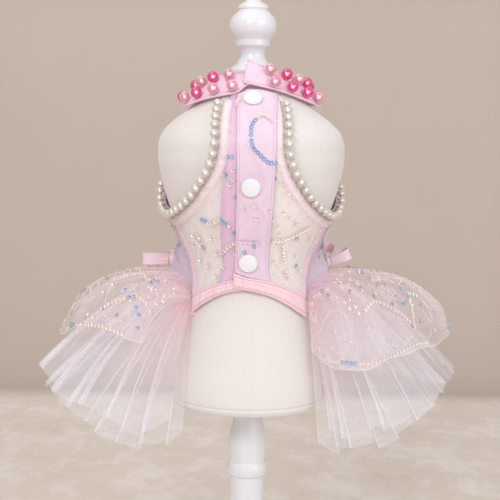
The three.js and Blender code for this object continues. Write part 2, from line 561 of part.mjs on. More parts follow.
addMesh('placket_under', wall(3, PANEL_STEPS, (u, v, side) => {
  const z = panelHeight(226.5, 353.5, v);
  const left = read(PLACKET_ROWS, 'z', 'under_left', z);
  const x = left + (UNDER_RIGHT - left) * u;
  return onCloth(turnAt(x, z), z, LAYER_1 + side * CLOTH);
}), LILAC);

addMesh('placket_over', wall(3, PANEL_STEPS, (u, v, side) => {
  const middle = panelHeight(236, 354, v);
  const leftEdge = read(PLACKET_ROWS, 'z', 'over_left', middle);
  const rightEdge = read(PLACKET_ROWS, 'z', 'over_right', middle);
  const x = leftEdge + (rightEdge - leftEdge) * u;
  const top = read(PLACKET_TOP, 'x', 'z', x);
  const foot = read(HEM_RIGHT_ROWS, 'turn', 'top', turnAt(x, 236)) + SEAM;
  const z = panelHeight(foot, top, v);
  return onCloth(turnAt(x, z), z, LAYER_2 + side * CLOTH);
}), LILAC);

SNAPS.forEach((snap, k) => {
  const turn = turnAt(snap.x, snap.z);
  const normal = formNormal(turn, snap.z);
  const seat = onCloth(turn, snap.z, LAYER_3);
  const rows = [
    { z: 0.0, r: CAP_RADIUS - 0.3 }, { z: 0.5, r: CAP_RADIUS }, { z: 1.1, r: CAP_RADIUS - 0.3 },
    { z: 1.6, r: CAP_RADIUS - 1.4 }, { z: CAP_HEIGHT, r: 0 },
  ];
  const cap = turned(rows, 14);
  const turnUp = new THREE.Quaternion().setFromUnitVectors(new THREE.Vector3(0, 0, 1), normal);
  cap.applyQuaternion(turnUp);
  cap.translate(seat.x, seat.y, seat.z);
  addMesh(`snap_cap_${k + 1}`, cap, CAP);
});

// ---------------------------------------------------------------- bodice panels
function sideSeamTurn(z) {
  const share = (z - SIDE_SEAM_FOOT.z) / (SIDE_SEAM_TOP.z - SIDE_SEAM_FOOT.z);
  return SIDE_SEAM_FOOT.turn + (SIDE_SEAM_TOP.turn - SIDE_SEAM_FOOT.turn) * share;
}

function frontPanel(mirror, innerEdge) {
  return wall(6, PANEL_STEPS, (u, v, side) => {
    const row = along(PANEL_ROWS, ['inner', 'outer', 'turn'], v);
    const innerTurn = turnAt(innerEdge(row.inner), row.inner);
    const tape = sideSeamTurn(row.outer) - TAPE_HALF_TURN - SEAM_TURN;
    const outerTurn = mirror * Math.min(row.turn, tape);
    const turn = innerTurn + (outerTurn - innerTurn) * u;
    const z = row.inner + (row.outer - row.inner) * u;
    return onCloth(turn, z, LAYER_1 + side * CLOTH);
  });
}
addMesh('bodice_front_left',
  frontPanel(1, (z) => read(PLACKET_ROWS, 'z', 'under_left', z) - SEAM), MESH_CLOTH);
addMesh('bodice_front_right', frontPanel(-1, () => UNDER_RIGHT + SEAM), MESH_CLOTH);

[['left', 1], ['right', -1]].forEach(([name, mirror]) => {
  addMesh(`side_seam_${name}`, wall(1, 10, (u, v, side) => {
    const z = ACROSS_Z(SIDE_SEAM_FOOT.z, SIDE_SEAM_TOP.z - 0.6, v);
    const turn = sideSeamTurn(z) + (2 * u - 1) * TAPE_HALF_TURN;
    return onCloth(mirror * turn, z, LAYER_1 + side * CLOTH);
  }), SALMON);
});

// The back: from seam tape to seam tape, its top following the armholes and the collar's back.
const BACK_TOP_ROWS = [
  ...ARMHOLE_ROWS.slice(12).map((row) => ({ turn: row.turn, z: row.z })),
  { turn: 150, z: 348.0 }, { turn: 180, z: 349.6 },
];
const BACK_UNDER_SEAM = 1.2;    // the back reaches this far below the skirt's seam
const BACK_STEPS = [0, 0.18, 0.34, 0.48, 0.59, 0.67, 0.74, 0.8, 0.85, 0.9, 0.95, 1];
const backEdge = (z) => sideSeamTurn(z) + TAPE_HALF_TURN + SEAM_TURN;
let backCorner = SIDE_SEAM_FOOT.z;
for (let k = 0; k < 20; k += 1) {
  backCorner = read(SEAM_ROWS, 'turn', 'z', backEdge(backCorner)) - BACK_UNDER_SEAM;
}
addMesh('bodice_back', wall(28, BACK_STEPS.length - 1, (u, v, side) => {
  const half = u <= 0.5 ? u * 2 : (1 - u) * 2;
  const footTurn = backEdge(backCorner) + (180 - backEdge(backCorner)) * half;
  const topTurn = backEdge(BACK_TOP_ROWS[0].z) + (180 - backEdge(BACK_TOP_ROWS[0].z)) * half;
  const foot = read(SEAM_ROWS, 'turn', 'z', footTurn) - BACK_UNDER_SEAM;
  const top = read(BACK_TOP_ROWS, 'turn', 'z', topTurn);
  const rise = BACK_STEPS[Math.round(v * (BACK_STEPS.length - 1))];
  const turn = footTurn + (topTurn - footTurn) * rise;
  const z = foot + (top - foot) * rise;
  return onCloth(u <= 0.5 ? turn : 360 - turn, z, LAYER_1 + side * CLOTH);
}), LILAC);

// ---------------------------------------------------------------- armhole bindings and pearls
function armholeFrame(share, mirror) {
  const here = along(ARMHOLE_ROWS, ['turn', 'z'], share);
  const before = along(ARMHOLE_ROWS, ['turn', 'z'], Math.max(0, share - 0.004));
  const after = along(ARMHOLE_ROWS, ['turn', 'z'], Math.min(1, share + 0.004));
  const turn = mirror * here.turn;
  const run = onCloth(mirror * after.turn, after.z, 0)
    .sub(onCloth(mirror * before.turn, before.z, 0)).normalize();
  const normal = formNormal(turn, here.z);
  const inward = new THREE.Vector3().crossVectors(normal, run).multiplyScalar(mirror).normalize();
  return { turn, z: here.z, run, normal, inward };
}

// The binding narrows where the placket leaves it less room beside the pearls.
function bindingWidth(edge, mirror) {
  const column = mirror > 0 ? 'over_left' : 'over_right';
  const placketTurn = turnAt(read(PLACKET_ROWS, 'z', column, edge.z), edge.z);
  const perDegree = onCloth(edge.turn + 1, edge.z, 0).distanceTo(onCloth(edge.turn, edge.z, 0));
  const room = Math.abs(edge.turn - placketTurn) * perDegree;
  return Math.min(BINDING_WIDTH, room - BINDING_START - BINDING_CLEAR);
}

[['left', 1], ['right', -1]].forEach(([name, mirror]) => {
  addMesh(`armhole_binding_${name}`, wall(1, 44, (u, v, side) => {
    const edge = armholeFrame(v, mirror);
    const distance = BINDING_START + bindingWidth(edge, mirror) * u;
    const place = slide(edge.turn, edge.z, edge.inward, distance);
    return onCloth(place.turn, place.z, LAYER_2 + side * CLOTH);
  }), MESH_CLOTH);

  // One bar that swells into a pearl at each step along the edge.
  const centres = [];
  for (let k = 0; k <= 400; k += 1) {
    const edge = armholeFrame(k / 400, mirror);
    centres.push({
      point: onCloth(edge.turn, edge.z, LAYER_2 + TRIM_PEARL),
      normal: edge.normal,
    });
  }
  const lengths = [0];
  for (let k = 1; k < centres.length; k += 1) {
    lengths.push(lengths[k - 1] + centres[k].point.distanceTo(centres[k - 1].point));
  }
  const total = lengths[lengths.length - 1];
  const pearls = Math.round(total / TRIM_PITCH);
  const pitch = total / pearls;
  const frameAt = (distance) => {
    let k = 1;
    while (k < lengths.length - 1 && lengths[k] < distance) k += 1;
    const t = (distance - lengths[k - 1]) / (lengths[k] - lengths[k - 1]);
    const point = centres[k - 1].point.clone().lerp(centres[k].point, t);
    const run = centres[k].point.clone().sub(centres[k - 1].point).normalize();
    return { point, run, normal: centres[k].normal };
  };
  const rings = [];
  const steps = [[-0.5, TRIM_THREAD], [-0.22, 0.95 * TRIM_PEARL], [0.22, 0.95 * TRIM_PEARL]];
  for (let k = 0; k < pearls; k += 1) {
    steps.forEach(([place, radius]) => {
      if (k === 0 && place === -0.5) return;
      const { point, run, normal } = frameAt((k + 0.5 + place) * pitch);
      const across = new THREE.Vector3().crossVectors(run, normal).normalize();
      const lift = new THREE.Vector3().crossVectors(across, run).normalize();
      const ring = [];
      for (let i = 0; i < 5; i += 1) {
        const spin = (i / 5) * 2 * Math.PI;
        ring.push(point.clone().addScaledVector(across, radius * Math.cos(spin))
          .addScaledVector(lift, radius * Math.sin(spin)));
      }
      rings.push(ring);
    });
  }
  addMesh(`pearl_trim_${name}`, ringStack(rings, frameAt(0.02 * pitch).point,
    frameAt(total - 0.02 * pitch).point), PEARL);
});

// ---------------------------------------------------------------- hem binding
function hemStrip(rows) {
  return wall(Math.round(Math.abs(rows[0].turn - rows[rows.length - 1].turn) / 7), 2, (u, v, side) => {
    const turn = rows[0].turn + (rows[rows.length - 1].turn - rows[0].turn) * u;
    const top = read(rows, 'turn', 'top', turn);
    const foot = read(rows, 'turn', 'foot', turn);
    const lift = read(rows, 'turn', 'lift', turn);
    return onCloth(turn, foot + (top - foot) * v, LAYER_2 + lift + side * CLOTH);
  });
}
addMesh('hem_binding_left', hemStrip(HEM_LEFT_ROWS), SALMON);
addMesh('hem_binding_right', hemStrip(HEM_RIGHT_ROWS), SALMON);

// ---------------------------------------------------------------- skirt
function fall(layer, turn, down) {
  const steep = 1 - smoothstep(80, 95, Math.min(turn, 360 - turn));
  const seamZ = read(SEAM_ROWS, 'turn', 'z', turn) + layer.over_seam * (1 + 0.4 * steep);
  const root = onClothAt(turn, seamZ, LAYER_1 + CLOTH + 1.0);
  const hemTurn = read(layer.rows, 'turn', 'hem_turn', turn) * RAD;
  const reach = read(layer.rows, 'turn', 'reach', turn);
  const hemZ = read(layer.rows, 'turn', 'hem_z', turn);
  const hem = new THREE.Vector3(-reach * Math.sin(hemTurn), -reach * Math.cos(hemTurn), hemZ);
  const share = read(layer.rows, 'turn', 'share', turn);
  const rise = read(layer.rows, 'turn', 'rise', turn);
  const bend = root.clone().lerp(hem, share);
  bend.z = root.z + rise;
  const up = 1 - down;
  return root.multiplyScalar(up * up).addScaledVector(bend, 2 * up * down)
    .addScaledVector(hem, down * down);
}

function fallNormal(layer, turn, down) {
  const round = fall(layer, turn + 0.2, down).sub(fall(layer, turn - 0.2, down));
  const out = fall(layer, turn, Math.min(1, down + 0.01))
    .sub(fall(layer, turn, Math.max(0, down - 0.01)));
  const normal = new THREE.Vector3().crossVectors(round, out).normalize();
  return normal.z < 0 ? normal.negate() : normal;
}

// Turns along the seam at which the folds lie, evenly spaced along the hem.
function foldTurns(layer, steps) {
  const from = layer.rows[0].turn;
  const to = layer.rows[layer.rows.length - 1].turn;
  const places = [{ turn: from, length: 0 }];
  let last = fall(layer, from, 0.7);
  for (let k = 1; k <= 600; k += 1) {
    const turn = from + ((to - from) * k) / 600;
    const point = fall(layer, turn, 0.7);
    places.push({ turn, length: places[k - 1].length + point.distanceTo(last) });
    last = point;
  }
  const total = places[600].length;
  const turns = [];
  let k = 0;
  for (let i = 0; i <= steps; i += 1) {
    while (k < 599 && places[k + 1].length < (total * i) / steps) k += 1;
    const t = ((total * i) / steps - places[k].length) / (places[k + 1].length - places[k].length);
    turns.push(places[k].turn + (places[k + 1].turn - places[k].turn) * Math.min(1, t));
  }
  return turns;
}

function skirtLayer(layer, pleats) {
  const steps = pleats * 2;
  const turns = foldTurns(layer, steps);
  return wall(steps, layer.courses, (u, v, side) => {
    const i = Math.round(u * steps);
    const depth = layer.root_depth + (layer.hem_depth - layer.root_depth) * v ** 1.4;
    const fold = i % 2 ? depth : -depth;
    const place = fall(layer, turns[i], v);
    return place.addScaledVector(fallNormal(layer, turns[i], v), fold + side * TULLE);
  });
}
addMesh('skirt_sequin', skirtLayer(LAYERS.sequin, SKIRT_PLEATS.sequin), MESH_CLOTH);
addMesh('skirt_tulle_upper', skirtLayer(LAYERS.upper, SKIRT_PLEATS.upper), TULLE_CLOTH);
addMesh('skirt_tulle_under', skirtLayer(LAYERS.under, SKIRT_PLEATS.under), TULLE_CLOTH);

// ---------------------------------------------------------------- bows
const BOWS = [
  { name: 'left', turn: 110, loop_front: 18, loop_rear: 20, lean: 0.02 },
  { name: 'right', turn: 250, loop_front: 14, loop_rear: 20, lean: 0.42 },
];
const KNOT = { across: 2.6, deep: 2.4, high: 3.6 };
const KNOT_OVER_SEAM = 10.9;
function ribbonLoop(root, outward, sideways, length, spread, widths) {
  const along3 = outward.clone().normalize();
  const flat = sideways.clone().addScaledVector(along3, -sideways.dot(along3)).normalize();
  const wide = new THREE.Vector3().crossVectors(along3, flat).normalize();
  const pathAt = (w) => {
    const far = (1 - Math.cos(2 * Math.PI * w)) / 2;
    const open = spread * Math.sin(2 * Math.PI * w) * Math.sqrt(far) + 1.1 * (1 - 2 * w);
    return root.clone().addScaledVector(along3, length * far ** 0.8).addScaledVector(flat, open);
  };
  return wall(1, 14, (u, v, side) => {
    const run = pathAt(Math.min(1, v + 0.01)).sub(pathAt(Math.max(0, v - 0.01))).normalize();
    const face = new THREE.Vector3().crossVectors(run, wide).normalize();
    const width = widths.root + (widths.tip - widths.root) * Math.sin(Math.PI * v) ** 0.8;
    return pathAt(v).addScaledVector(wide, (u - 0.5) * width)
      .addScaledVector(face, (side - 0.5) * RIBBON_WALL);
  });
}

BOWS.forEach((bow) => {
  const z = read(SEAM_ROWS, 'turn', 'z', bow.turn) + KNOT_OVER_SEAM;
  const normal = formNormal(bow.turn, z);
  const outward = normal.clone().setZ(0).normalize();
  const round = new THREE.Vector3(-outward.y, outward.x, 0);
  const front = round.y > 0 ? round.clone().negate() : round.clone();
  const up = new THREE.Vector3(0, 0, KNOT.high);
  const centre = onClothAt(bow.turn, z, LAYER_2 + KNOT.deep + 0.8);
  const knotRings = [];
  for (let j = 1; j < 5; j += 1) {
    const ring = [];
    const tilt = (j / 5) * Math.PI;
    for (let i = 0; i < 8; i += 1) {
      const spin = (i / 8) * 2 * Math.PI;
      ring.push(centre.clone().addScaledVector(up, -Math.cos(tilt))
        .addScaledVector(front, KNOT.across * Math.sin(tilt) * Math.cos(spin))
        .addScaledVector(outward, KNOT.deep * Math.sin(tilt) * Math.sin(spin)));
    }
    knotRings.push(ring);
  }
  addMesh(`bow_${bow.name}_knot`,
    ringStack(knotRings, centre.clone().sub(up), centre.clone().add(up)), SATIN);
  const lean = new THREE.Vector3(0, 0, bow.lean);
  const ways = [
    ['loop_front', front.clone().multiplyScalar(0.25).add(outward).add(lean), front, bow.loop_front],
    ['loop_rear', outward.clone().multiplyScalar(0.55).sub(front).add(lean), outward, bow.loop_rear],
  ];
  ways.forEach(([part, way, sideways, length]) => {
    const root = centre.clone().addScaledVector(way.clone().normalize(), KNOT.across + 0.6);
    addMesh(`bow_${bow.name}_${part}`,
      ribbonLoop(root, way, sideways, length, 4.4, { root: 5.0, tip: RIBBON }), SATIN);
  });
});

export default group;
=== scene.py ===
"""A small dog's halter dress with a pleated tulle skirt, on a turned and painted display form."""

import bisect
import math
import random

import bmesh
import bpy
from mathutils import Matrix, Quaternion, Vector


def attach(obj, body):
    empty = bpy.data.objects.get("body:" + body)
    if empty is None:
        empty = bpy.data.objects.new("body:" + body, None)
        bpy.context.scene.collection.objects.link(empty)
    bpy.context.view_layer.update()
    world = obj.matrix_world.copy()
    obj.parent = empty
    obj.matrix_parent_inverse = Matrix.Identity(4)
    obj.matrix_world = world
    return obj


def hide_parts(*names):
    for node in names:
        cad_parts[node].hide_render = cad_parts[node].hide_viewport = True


bl_info = {
    "name": "Dog Tulle Dress on a Dress Form",
    "version": (1, 0, 0),
    "blender": (4, 5, 0),
    "location": "View3D > Sidebar > Tulle Dress",
    "description": "Builds a small dog's tulle dress and the turned form that shows it",
    "category": "Object",
}

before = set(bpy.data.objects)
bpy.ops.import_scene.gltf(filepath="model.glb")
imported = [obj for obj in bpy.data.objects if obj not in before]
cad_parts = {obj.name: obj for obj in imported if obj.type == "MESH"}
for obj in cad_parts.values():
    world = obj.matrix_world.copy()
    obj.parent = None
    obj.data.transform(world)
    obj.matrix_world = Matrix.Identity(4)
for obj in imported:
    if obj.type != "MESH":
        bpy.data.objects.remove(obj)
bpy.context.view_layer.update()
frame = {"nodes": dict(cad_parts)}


# ---------------------------------------------------------------- tables, in millimetres
def table(columns, *rows):
    """Rows of numbers under named columns."""
    names = columns.split()
    return [dict(zip(names, row)) for row in rows]


MM = 0.001
CLOTH = 1.0      # room that one layer of bodice cloth takes
BAND = 1.3       # the interfaced collar band
LAYER_1 = 0.7    # off the form: mesh panels, under placket, side seam tape, back
LAYER_2 = 2.2    # over placket, bindings, collar
LAYER_3 = 3.7    # snap caps, the lapped end of the hem binding
NET_GAP = 0.35   # between the back's satin and the mesh that lies over it
NET_CELL = 1.1   # a cell of net as it is drawn

# The dress form: half width and half depth at each height.
FORM_ROWS = table(
    "z wide deep",
    (145, 48.6, 45.2), (147, 50, 46.5), (151, 50.6, 47), (160, 50, 46.2),
    (175, 47, 43.5), (190, 43.8, 40.5), (205, 40.8, 37.6), (220, 38.7, 35.5),
    (232, 38.2, 34.9), (245, 40.2, 36.5), (258, 45.4, 40.5), (272, 51.8, 45.9),
    (286, 56.8, 50.2), (300, 60.6, 53.6), (312, 62.7, 55.4), (321, 62.7, 55.2),
    (329, 60, 52.6), (336, 53.8, 47.2), (343, 44.8, 39.8), (350, 36.4, 33),
    (357, 28.6, 26.8), (363, 21.6, 21), (366.4, 17.2, 17.2),
)

FORM_FOOT = 145.0
FORM_TOP = 366.4
COVER_SEAM = 149.7    # the sewn seam of the form's cover

# Turned parts: radius at each height; soft is how far a corner may be rounded.
BASE_ROWS = table(
    "z r soft",
    (0, 0, 0), (0, 79, 0.8), (1.5, 80.5, 0.8), (9, 80.5, 2), (12, 78, 3),
    (13.5, 72, 9), (15.5, 60, 9), (17.5, 40, 9), (18.5, 24, 6), (18.5, 0, 0),
)
COLUMN_ROWS = table(
    "z r soft",
    (18.8, 0, 0), (18.8, 17, 0.4), (22, 17.4, 2), (25, 15.6, 2), (28, 12.4, 2),
    (34, 11.6, 3), (94, 11.6, 0.4), (95, 13.3, 0.4), (97.5, 14.1, 2),
    (100.5, 14.1, 2), (103, 13.2, 0.6), (104.2, 12.2, 0.5), (107, 12.6, 2),
    (113, 13.2, 3), (119, 12.8, 4), (126, 11.6, 4), (133, 10, 4),
    (138, 9.5, 3), (144.6, 9.5, 0.4), (144.6, 0, 0),
)
FINIAL_ROWS = table(
    "z r soft",
    (366.8, 0, 0), (366.8, 15.4, 0.5), (368.4, 16.5, 0.8), (370.6, 16.5, 0.8),
    (372.6, 14.4, 1.2), (375, 10.9, 1.2), (377.6, 10, 0.4), (378.6, 8.8, 0.4),
    (382, 8.1, 2), (385, 9.4, 1.6), (386.8, 11.6, 0.3), (390.6, 11.6, 0.3),
    (392.2, 12.6, 0.9), (396, 15.4, 2.2), (400.2, 16.1, 2.2), (404.6, 15.2, 2.2),
    (408.4, 12, 1.6), (410.4, 9.6, 0.3), (411.6, 10.5, 0.5), (413.4, 10.2, 0.8),
    (416.4, 5.4, 0.8), (420, 5.9, 1.6), (424, 7.2, 2.2), (428.2, 5.9, 1.8),
    (430.4, 3.2, 1.2), (431.2, 0, 0),
)

# How far the back of the bodice hangs clear of the form, below the shoulder blades.
FLARE_ROWS = table(
    "z out",
    (205, 19), (232, 16.5), (243, 13), (252, 7.5), (260, 3.2), (272, 2.1), (300, 2),
    (340, 2), (356, 0.4), (370, 0),
)
FLARE_FROM = 78
FLARE_FULL = 101

# Turns are degrees round the form from the belly (-Y), towards -X. The left armhole's edge.
ARMHOLE_ROWS = table(
    "turn z",
    (30, 346.6), (26.4, 340.5), (23.4, 334.5), (21.5, 328), (20.8, 320), (22.4, 312),
    (26.2, 304), (31.5, 297), (38, 290), (46, 284.4), (56, 279.8), (66, 277.2),
    (76, 276.4), (86, 277.6), (94, 281), (100.5, 286.4), (107, 293),
    (115, 300.4), (124, 308.6), (132, 318), (138.5, 328), (142.5, 336.5),
    (145, 343),
)

# The back's top edge carries on from the armhole; its folds run up from the skirt's seam.
BACK_TOP_ROWS = ARMHOLE_ROWS[12:] + table("turn z", (150, 348), (180, 349.6))
BACK_UNDER_SEAM = 1.2
BACK_FOLDS = table(
    "turn slope high wide height",
    (96, 0.05, 262, 2.2, 0.9), (108, 0.10, 282, 3, 1.3), (121, -0.06, 270, 2.4, 1),
    (133, 0.04, 300, 3.2, 1.4), (146, -0.05, 276, 2.6, 1.1), (160, 0.03, 292, 3, 1.2),
    (174, -0.02, 268, 2.4, 1), (187, 0.05, 296, 3.2, 1.4), (201, -0.04, 272, 2.6, 1.1),
    (214, 0.06, 288, 3, 1.2), (228, -0.05, 302, 3.2, 1.4), (241, 0.06, 270, 2.4, 1),
    (253, -0.08, 284, 3, 1.3), (264, 0.04, 260, 2.2, 0.9),
)
BACK_FOLDS_FROM = 226     # the height that all of them start from
BACK_FOLD_SHARE = 0.55    # how much of its height a fold keeps once the form pulls it

# The collar band, from its under end at the belly all the way round to the end that laps over.
COLLAR_ROWS = table(
    "low_turn low high_turn high lift",
    (-4, 359, -4, 367.6, 0), (8, 356.6, 8, 367.5, 0), (16, 352.4, 17, 367.2, 0),
    (30, 350.6, 31, 366.6, 0), (50, 348, 51, 364.6, 0), (72, 344.2, 72, 361, 0),
    (95, 343.4, 95, 359, 0), (135, 346, 135, 362, 0), (180, 348.6, 180, 365, 0),
    (225, 346.4, 225, 362, 0), (265, 344, 265, 359.4, 0), (288, 346.2, 289, 363.2, 0),
    (311, 350.6, 310, 366, 0), (330, 353.6, 329, 368.8, 0.7), (349, 355.4, 348, 372.2, 1.7),
    (360, 356.6, 358, 374.4, 1.8), (372, 357.8, 365, 376.2, 1.8),
)
COLLAR_TOP_WIDE = 31.0
COLLAR_TOP_DEEP = 21.5
COLLAR_PAIRS = 18
COLLAR_FIRST_TURN = 21
COLLAR_RUN = 318
# Light (0) and hot pink (1) pearls in the low and the high row, from the left of the placket round.
COLLAR_TINTS = table(
    "low high",
    (0, 0.15), (0.1, 1), (1, 0), (0, 1), (1, 0.1), (0, 0), (1, 0), (0.1, 1), (0, 1), (1, 0),
    (0, 1), (0.1, 0), (1, 0.1), (0, 1), (0, 1), (1, 0.05), (1, 1), (0.2, 0),
)

# Belly opening: across the plackets at each height, from the centre line towards +X.
PLACKET_ROWS = table(
    "z under_left over_left over_right",
    (228, -21, -9.6, 13.6), (234, -20.4, -9.6, 13), (247, -18.4, -9.4, 11.6),
    (267, -19.6, -9.1, 12.6), (293, -18.4, -8.8, 14.5), (324, -16.2, -9.1, 15.3),
    (356, -14.4, -9.7, 16.4),
)
UNDER_RIGHT = 9.0
UNDER_ENDS = (226.5, 353.5)    # foot and top of the under placket
OVER_ENDS = (236, 354)
PLACKET_TOP = table(
    "x z", (-10, 351.4), (-6, 353.4), (-2, 355.2), (3, 355.4), (9, 354.2), (17, 352.4),
)
SNAPS = table("x z", (0.5, 348.6), (0, 295.5), (-1, 246))

# Mesh front panels: heights of each row at the placket and at the armhole or side seam.
PANEL_ROWS = table(
    "inner outer turn",
    (354.5, 352, 33), (347, 346, 29.6), (341.5, 341, 26.8), (337, 336.8, 24.4),
    (333, 333, 23), (329, 329, 21.8), (324.5, 324.5, 21), (318, 318, 21),
    (309, 309.5, 23.4), (299, 300, 29.1), (289, 291, 37), (280, 284.4, 46),
    (271.5, 279.2, 58.5), (264, 275, 72.8), (256, 263, 71.5), (248.5, 252, 70.2),
    (241.5, 241, 68.7), (235.5, 231.5, 67.4), (230, 221.5, 66), (225, 211.5, 64.6),
)
# The arched hem binding: heights of its two edges; the right strip laps over the left one.
HEM_LEFT_ROWS = table(
    "turn top foot lift",
    (2, 235.4, 227.4, 0), (15, 233.8, 226, 0), (28, 231.2, 223.2, 0),
    (42, 227.8, 218.2, 0), (54, 224.2, 213.2, 0), (63, 221.4, 209.2, 0),
)
HEM_RIGHT_ROWS = table(
    "turn top foot lift",
    (14, 239, 228.2, 1.5), (0, 235.8, 226.8, 1.5), (-9, 234.6, 225.2, 0.5),
    (-21, 232.6, 222.4, 0), (-37, 228.6, 216.8, 0), (-50, 225, 211.2, 0),
    (-62, 221.2, 206.8, 0),
)
TAPE_HALF_TURN = 4.6      # half the side seam tape's width, in degrees round the form
SEAM_TURN = 0.25          # the gap beside it
BINDING_FROM_EDGE = 3.1   # the armhole's pearls lie between its edge and its binding
BINDING_WIDE = 5.8
SIDE_SEAM_TOP = {"turn": 76.4, "z": 276.0}
SIDE_SEAM_FOOT = {"turn": 67.6, "z": 207.0}
TAPE_TOP = 275.4

# The skirt's seam: from the hem's corner up to the back of the waist, both sides alike.
SEAM_ROWS = table(
    "turn z",
    (67, 208.5), (72, 214.5), (78, 220), (85, 225), (94, 228.5), (105, 229.5), (125, 230),
    (150, 231), (180, 231.5), (210, 231), (235, 230), (255, 229.5), (266, 228.5),
    (275, 225), (282, 220), (288, 214.5), (293, 208.5),
)
# Each skirt layer, a row for each large fold: where it leaves the seam, which way its hem lies,
# how far out and how high, and how its fall bows: share of the reach and height over the seam.
SEQUIN_ROWS = table(
    "turn hem_turn reach hem_z share rise",
    (67, 61, 80, 192, 0.66, 6), (70.5, 63, 92, 197, 0.74, 11), (75, 68, 105, 202, 0.78, 13),
    (81, 77, 117, 200, 0.82, 12), (88, 86, 126, 191, 0.84, 8), (97, 95, 132, 189, 0.82, 5),
    (110, 109, 133, 190, 0.8, 3), (128, 127, 127, 189, 0.76, 1), (150, 149, 127, 188, 0.74, 0),
    (172, 172, 123, 186, 0.74, 0), (195, 196, 125, 187, 0.74, 0), (218, 220, 127, 188, 0.75, 0),
    (238, 240, 132, 191, 0.8, 2), (254, 255, 136, 193, 0.84, 5), (264, 266, 139, 195, 0.88, 8),
    (272, 274, 130, 188, 0.86, 10), (278, 284, 115, 189, 0.84, 14),
    (283, 293, 100, 182, 0.82, 16), (287, 301, 84, 177, 0.8, 16), (290, 307, 68, 178, 0.74, 11),
    (293, 310, 54, 186, 0.66, 2),
)
UPPER_ROWS = table(
    "turn hem_turn reach hem_z share rise",
    (67, 52, 64, 142, 0.58, -18), (71, 57, 82, 135, 0.58, -16), (77, 65, 107, 143, 0.55, -13),
    (84, 77, 126, 152, 0.5, -14), (93, 90, 145, 168, 0.48, -14), (108, 106, 147, 164, 0.48, -15),
    (130, 129, 143, 161, 0.48, -15), (155, 154, 139, 158, 0.48, -15),
    (180, 181, 137, 156, 0.48, -15), (205, 206, 139, 158, 0.48, -15),
    (230, 231, 142, 160, 0.48, -15), (252, 254, 146, 165, 0.48, -14),
    (267, 270, 141, 167, 0.48, -14), (276, 283, 122, 150, 0.5, -14),
    (283, 294, 100, 138, 0.52, -15), (289, 302, 80, 132, 0.55, -18),
    (293, 308, 68, 136, 0.55, -20),
)
UNDER_ROWS = table(
    "turn hem_turn reach hem_z share rise",
    (67, 51, 55, 134, 0.46, -30), (71, 57, 72, 123, 0.48, -30), (77, 65.5, 97, 130, 0.46, -28),
    (84, 75, 119, 142, 0.44, -25), (93, 90, 138, 156, 0.42, -25), (108, 106, 140, 153, 0.42, -26),
    (130, 129, 136, 150, 0.42, -26), (155, 154, 132, 147, 0.42, -26),
    (180, 181, 130, 145, 0.42, -26), (205, 206, 132, 147, 0.42, -26),
    (230, 231, 135, 149, 0.42, -26), (252, 254, 139, 153, 0.42, -25),
    (267, 270, 134, 155, 0.42, -25), (276, 284, 116, 139, 0.44, -25),
    (283, 295, 95, 127, 0.46, -26), (289, 303, 73, 122, 0.5, -30),
    (293, 309, 60, 128, 0.5, -32),
)
PLEAT_AT_SEAM = 0.2

BOWS = (
    {"name": "left", "turn": 110, "loop_front": 18, "loop_rear": 20, "lean": 0.02},
    {"name": "right", "turn": 250, "loop_front": 14, "loop_rear": 20, "lean": 0.42},
)
KNOT_ACROSS = 2.6
KNOT_DEEP = 2.4
KNOT_HIGH = 3.6
KNOT_OVER_SEAM = 10.9
LOOP_SPREAD = 4.4

# Embroidered chains on the belly side, as turns and heights that a smooth line runs through.
# tint is the sequins' colour, from 0 cream over 0.45 rose and 0.7 blue to 1 violet.
BODICE_CHAINS = (
    {"tints": (0.05, 0.1, 0.72, 0.66), "path": ((-13, 333), (-9, 337), (-4, 336), (0, 331),
                                                (0.4, 325))},
    {"tints": (0.72, 0.68, 0.75, 0.7), "path": ((0.4, 324), (-1.4, 319), (-5, 315), (-9, 311),
                                                (-14, 310.5))},
    {"tints": (0.05, 0.3), "path": ((9.6, 348), (12.5, 346), (10, 342.6))},
    {"tints": (0.7, 0.66), "path": ((16.8, 313), (13, 314), (9.6, 313.5))},
    {"tints": (0.68, 0.05, 0.1, 0.05, 0.3), "path": ((37, 274), (32, 273), (28.5, 271), (24, 273),
                                              (20.5, 274.5))},
    {"tints": (0.68, 0.72, 0.5, 0.52), "path": ((20.5, 274), (16, 271.5), (13, 270.6))},
    {"tints": (0.1, 0.05, 0.9), "path": ((50, 264), (46, 258), (40, 254))},
    {"tints": (0.5, 0.05, 0.1), "path": ((31, 251.6), (24, 252), (17, 256.6), (11, 260))},
    {"tints": (0.52, 0.5, 0.62, 0.52), "path": ((8, 261.6), (0, 261), (-7, 260.4))},
    {"tints": (0.05, 0.02, 0.1, 0.05), "path": ((-17, 260.6), (-25, 261.4), (-36, 265),
                                               (-48, 269.6))},
    {"tints": (0.1, 0.05, 0.4), "path": ((-26, 259), (-28, 254), (-30, 250), (-33, 245))},
    {"tints": (0.4, 0.1), "path": ((-34, 241), (-37, 237), (-40, 234))},
)
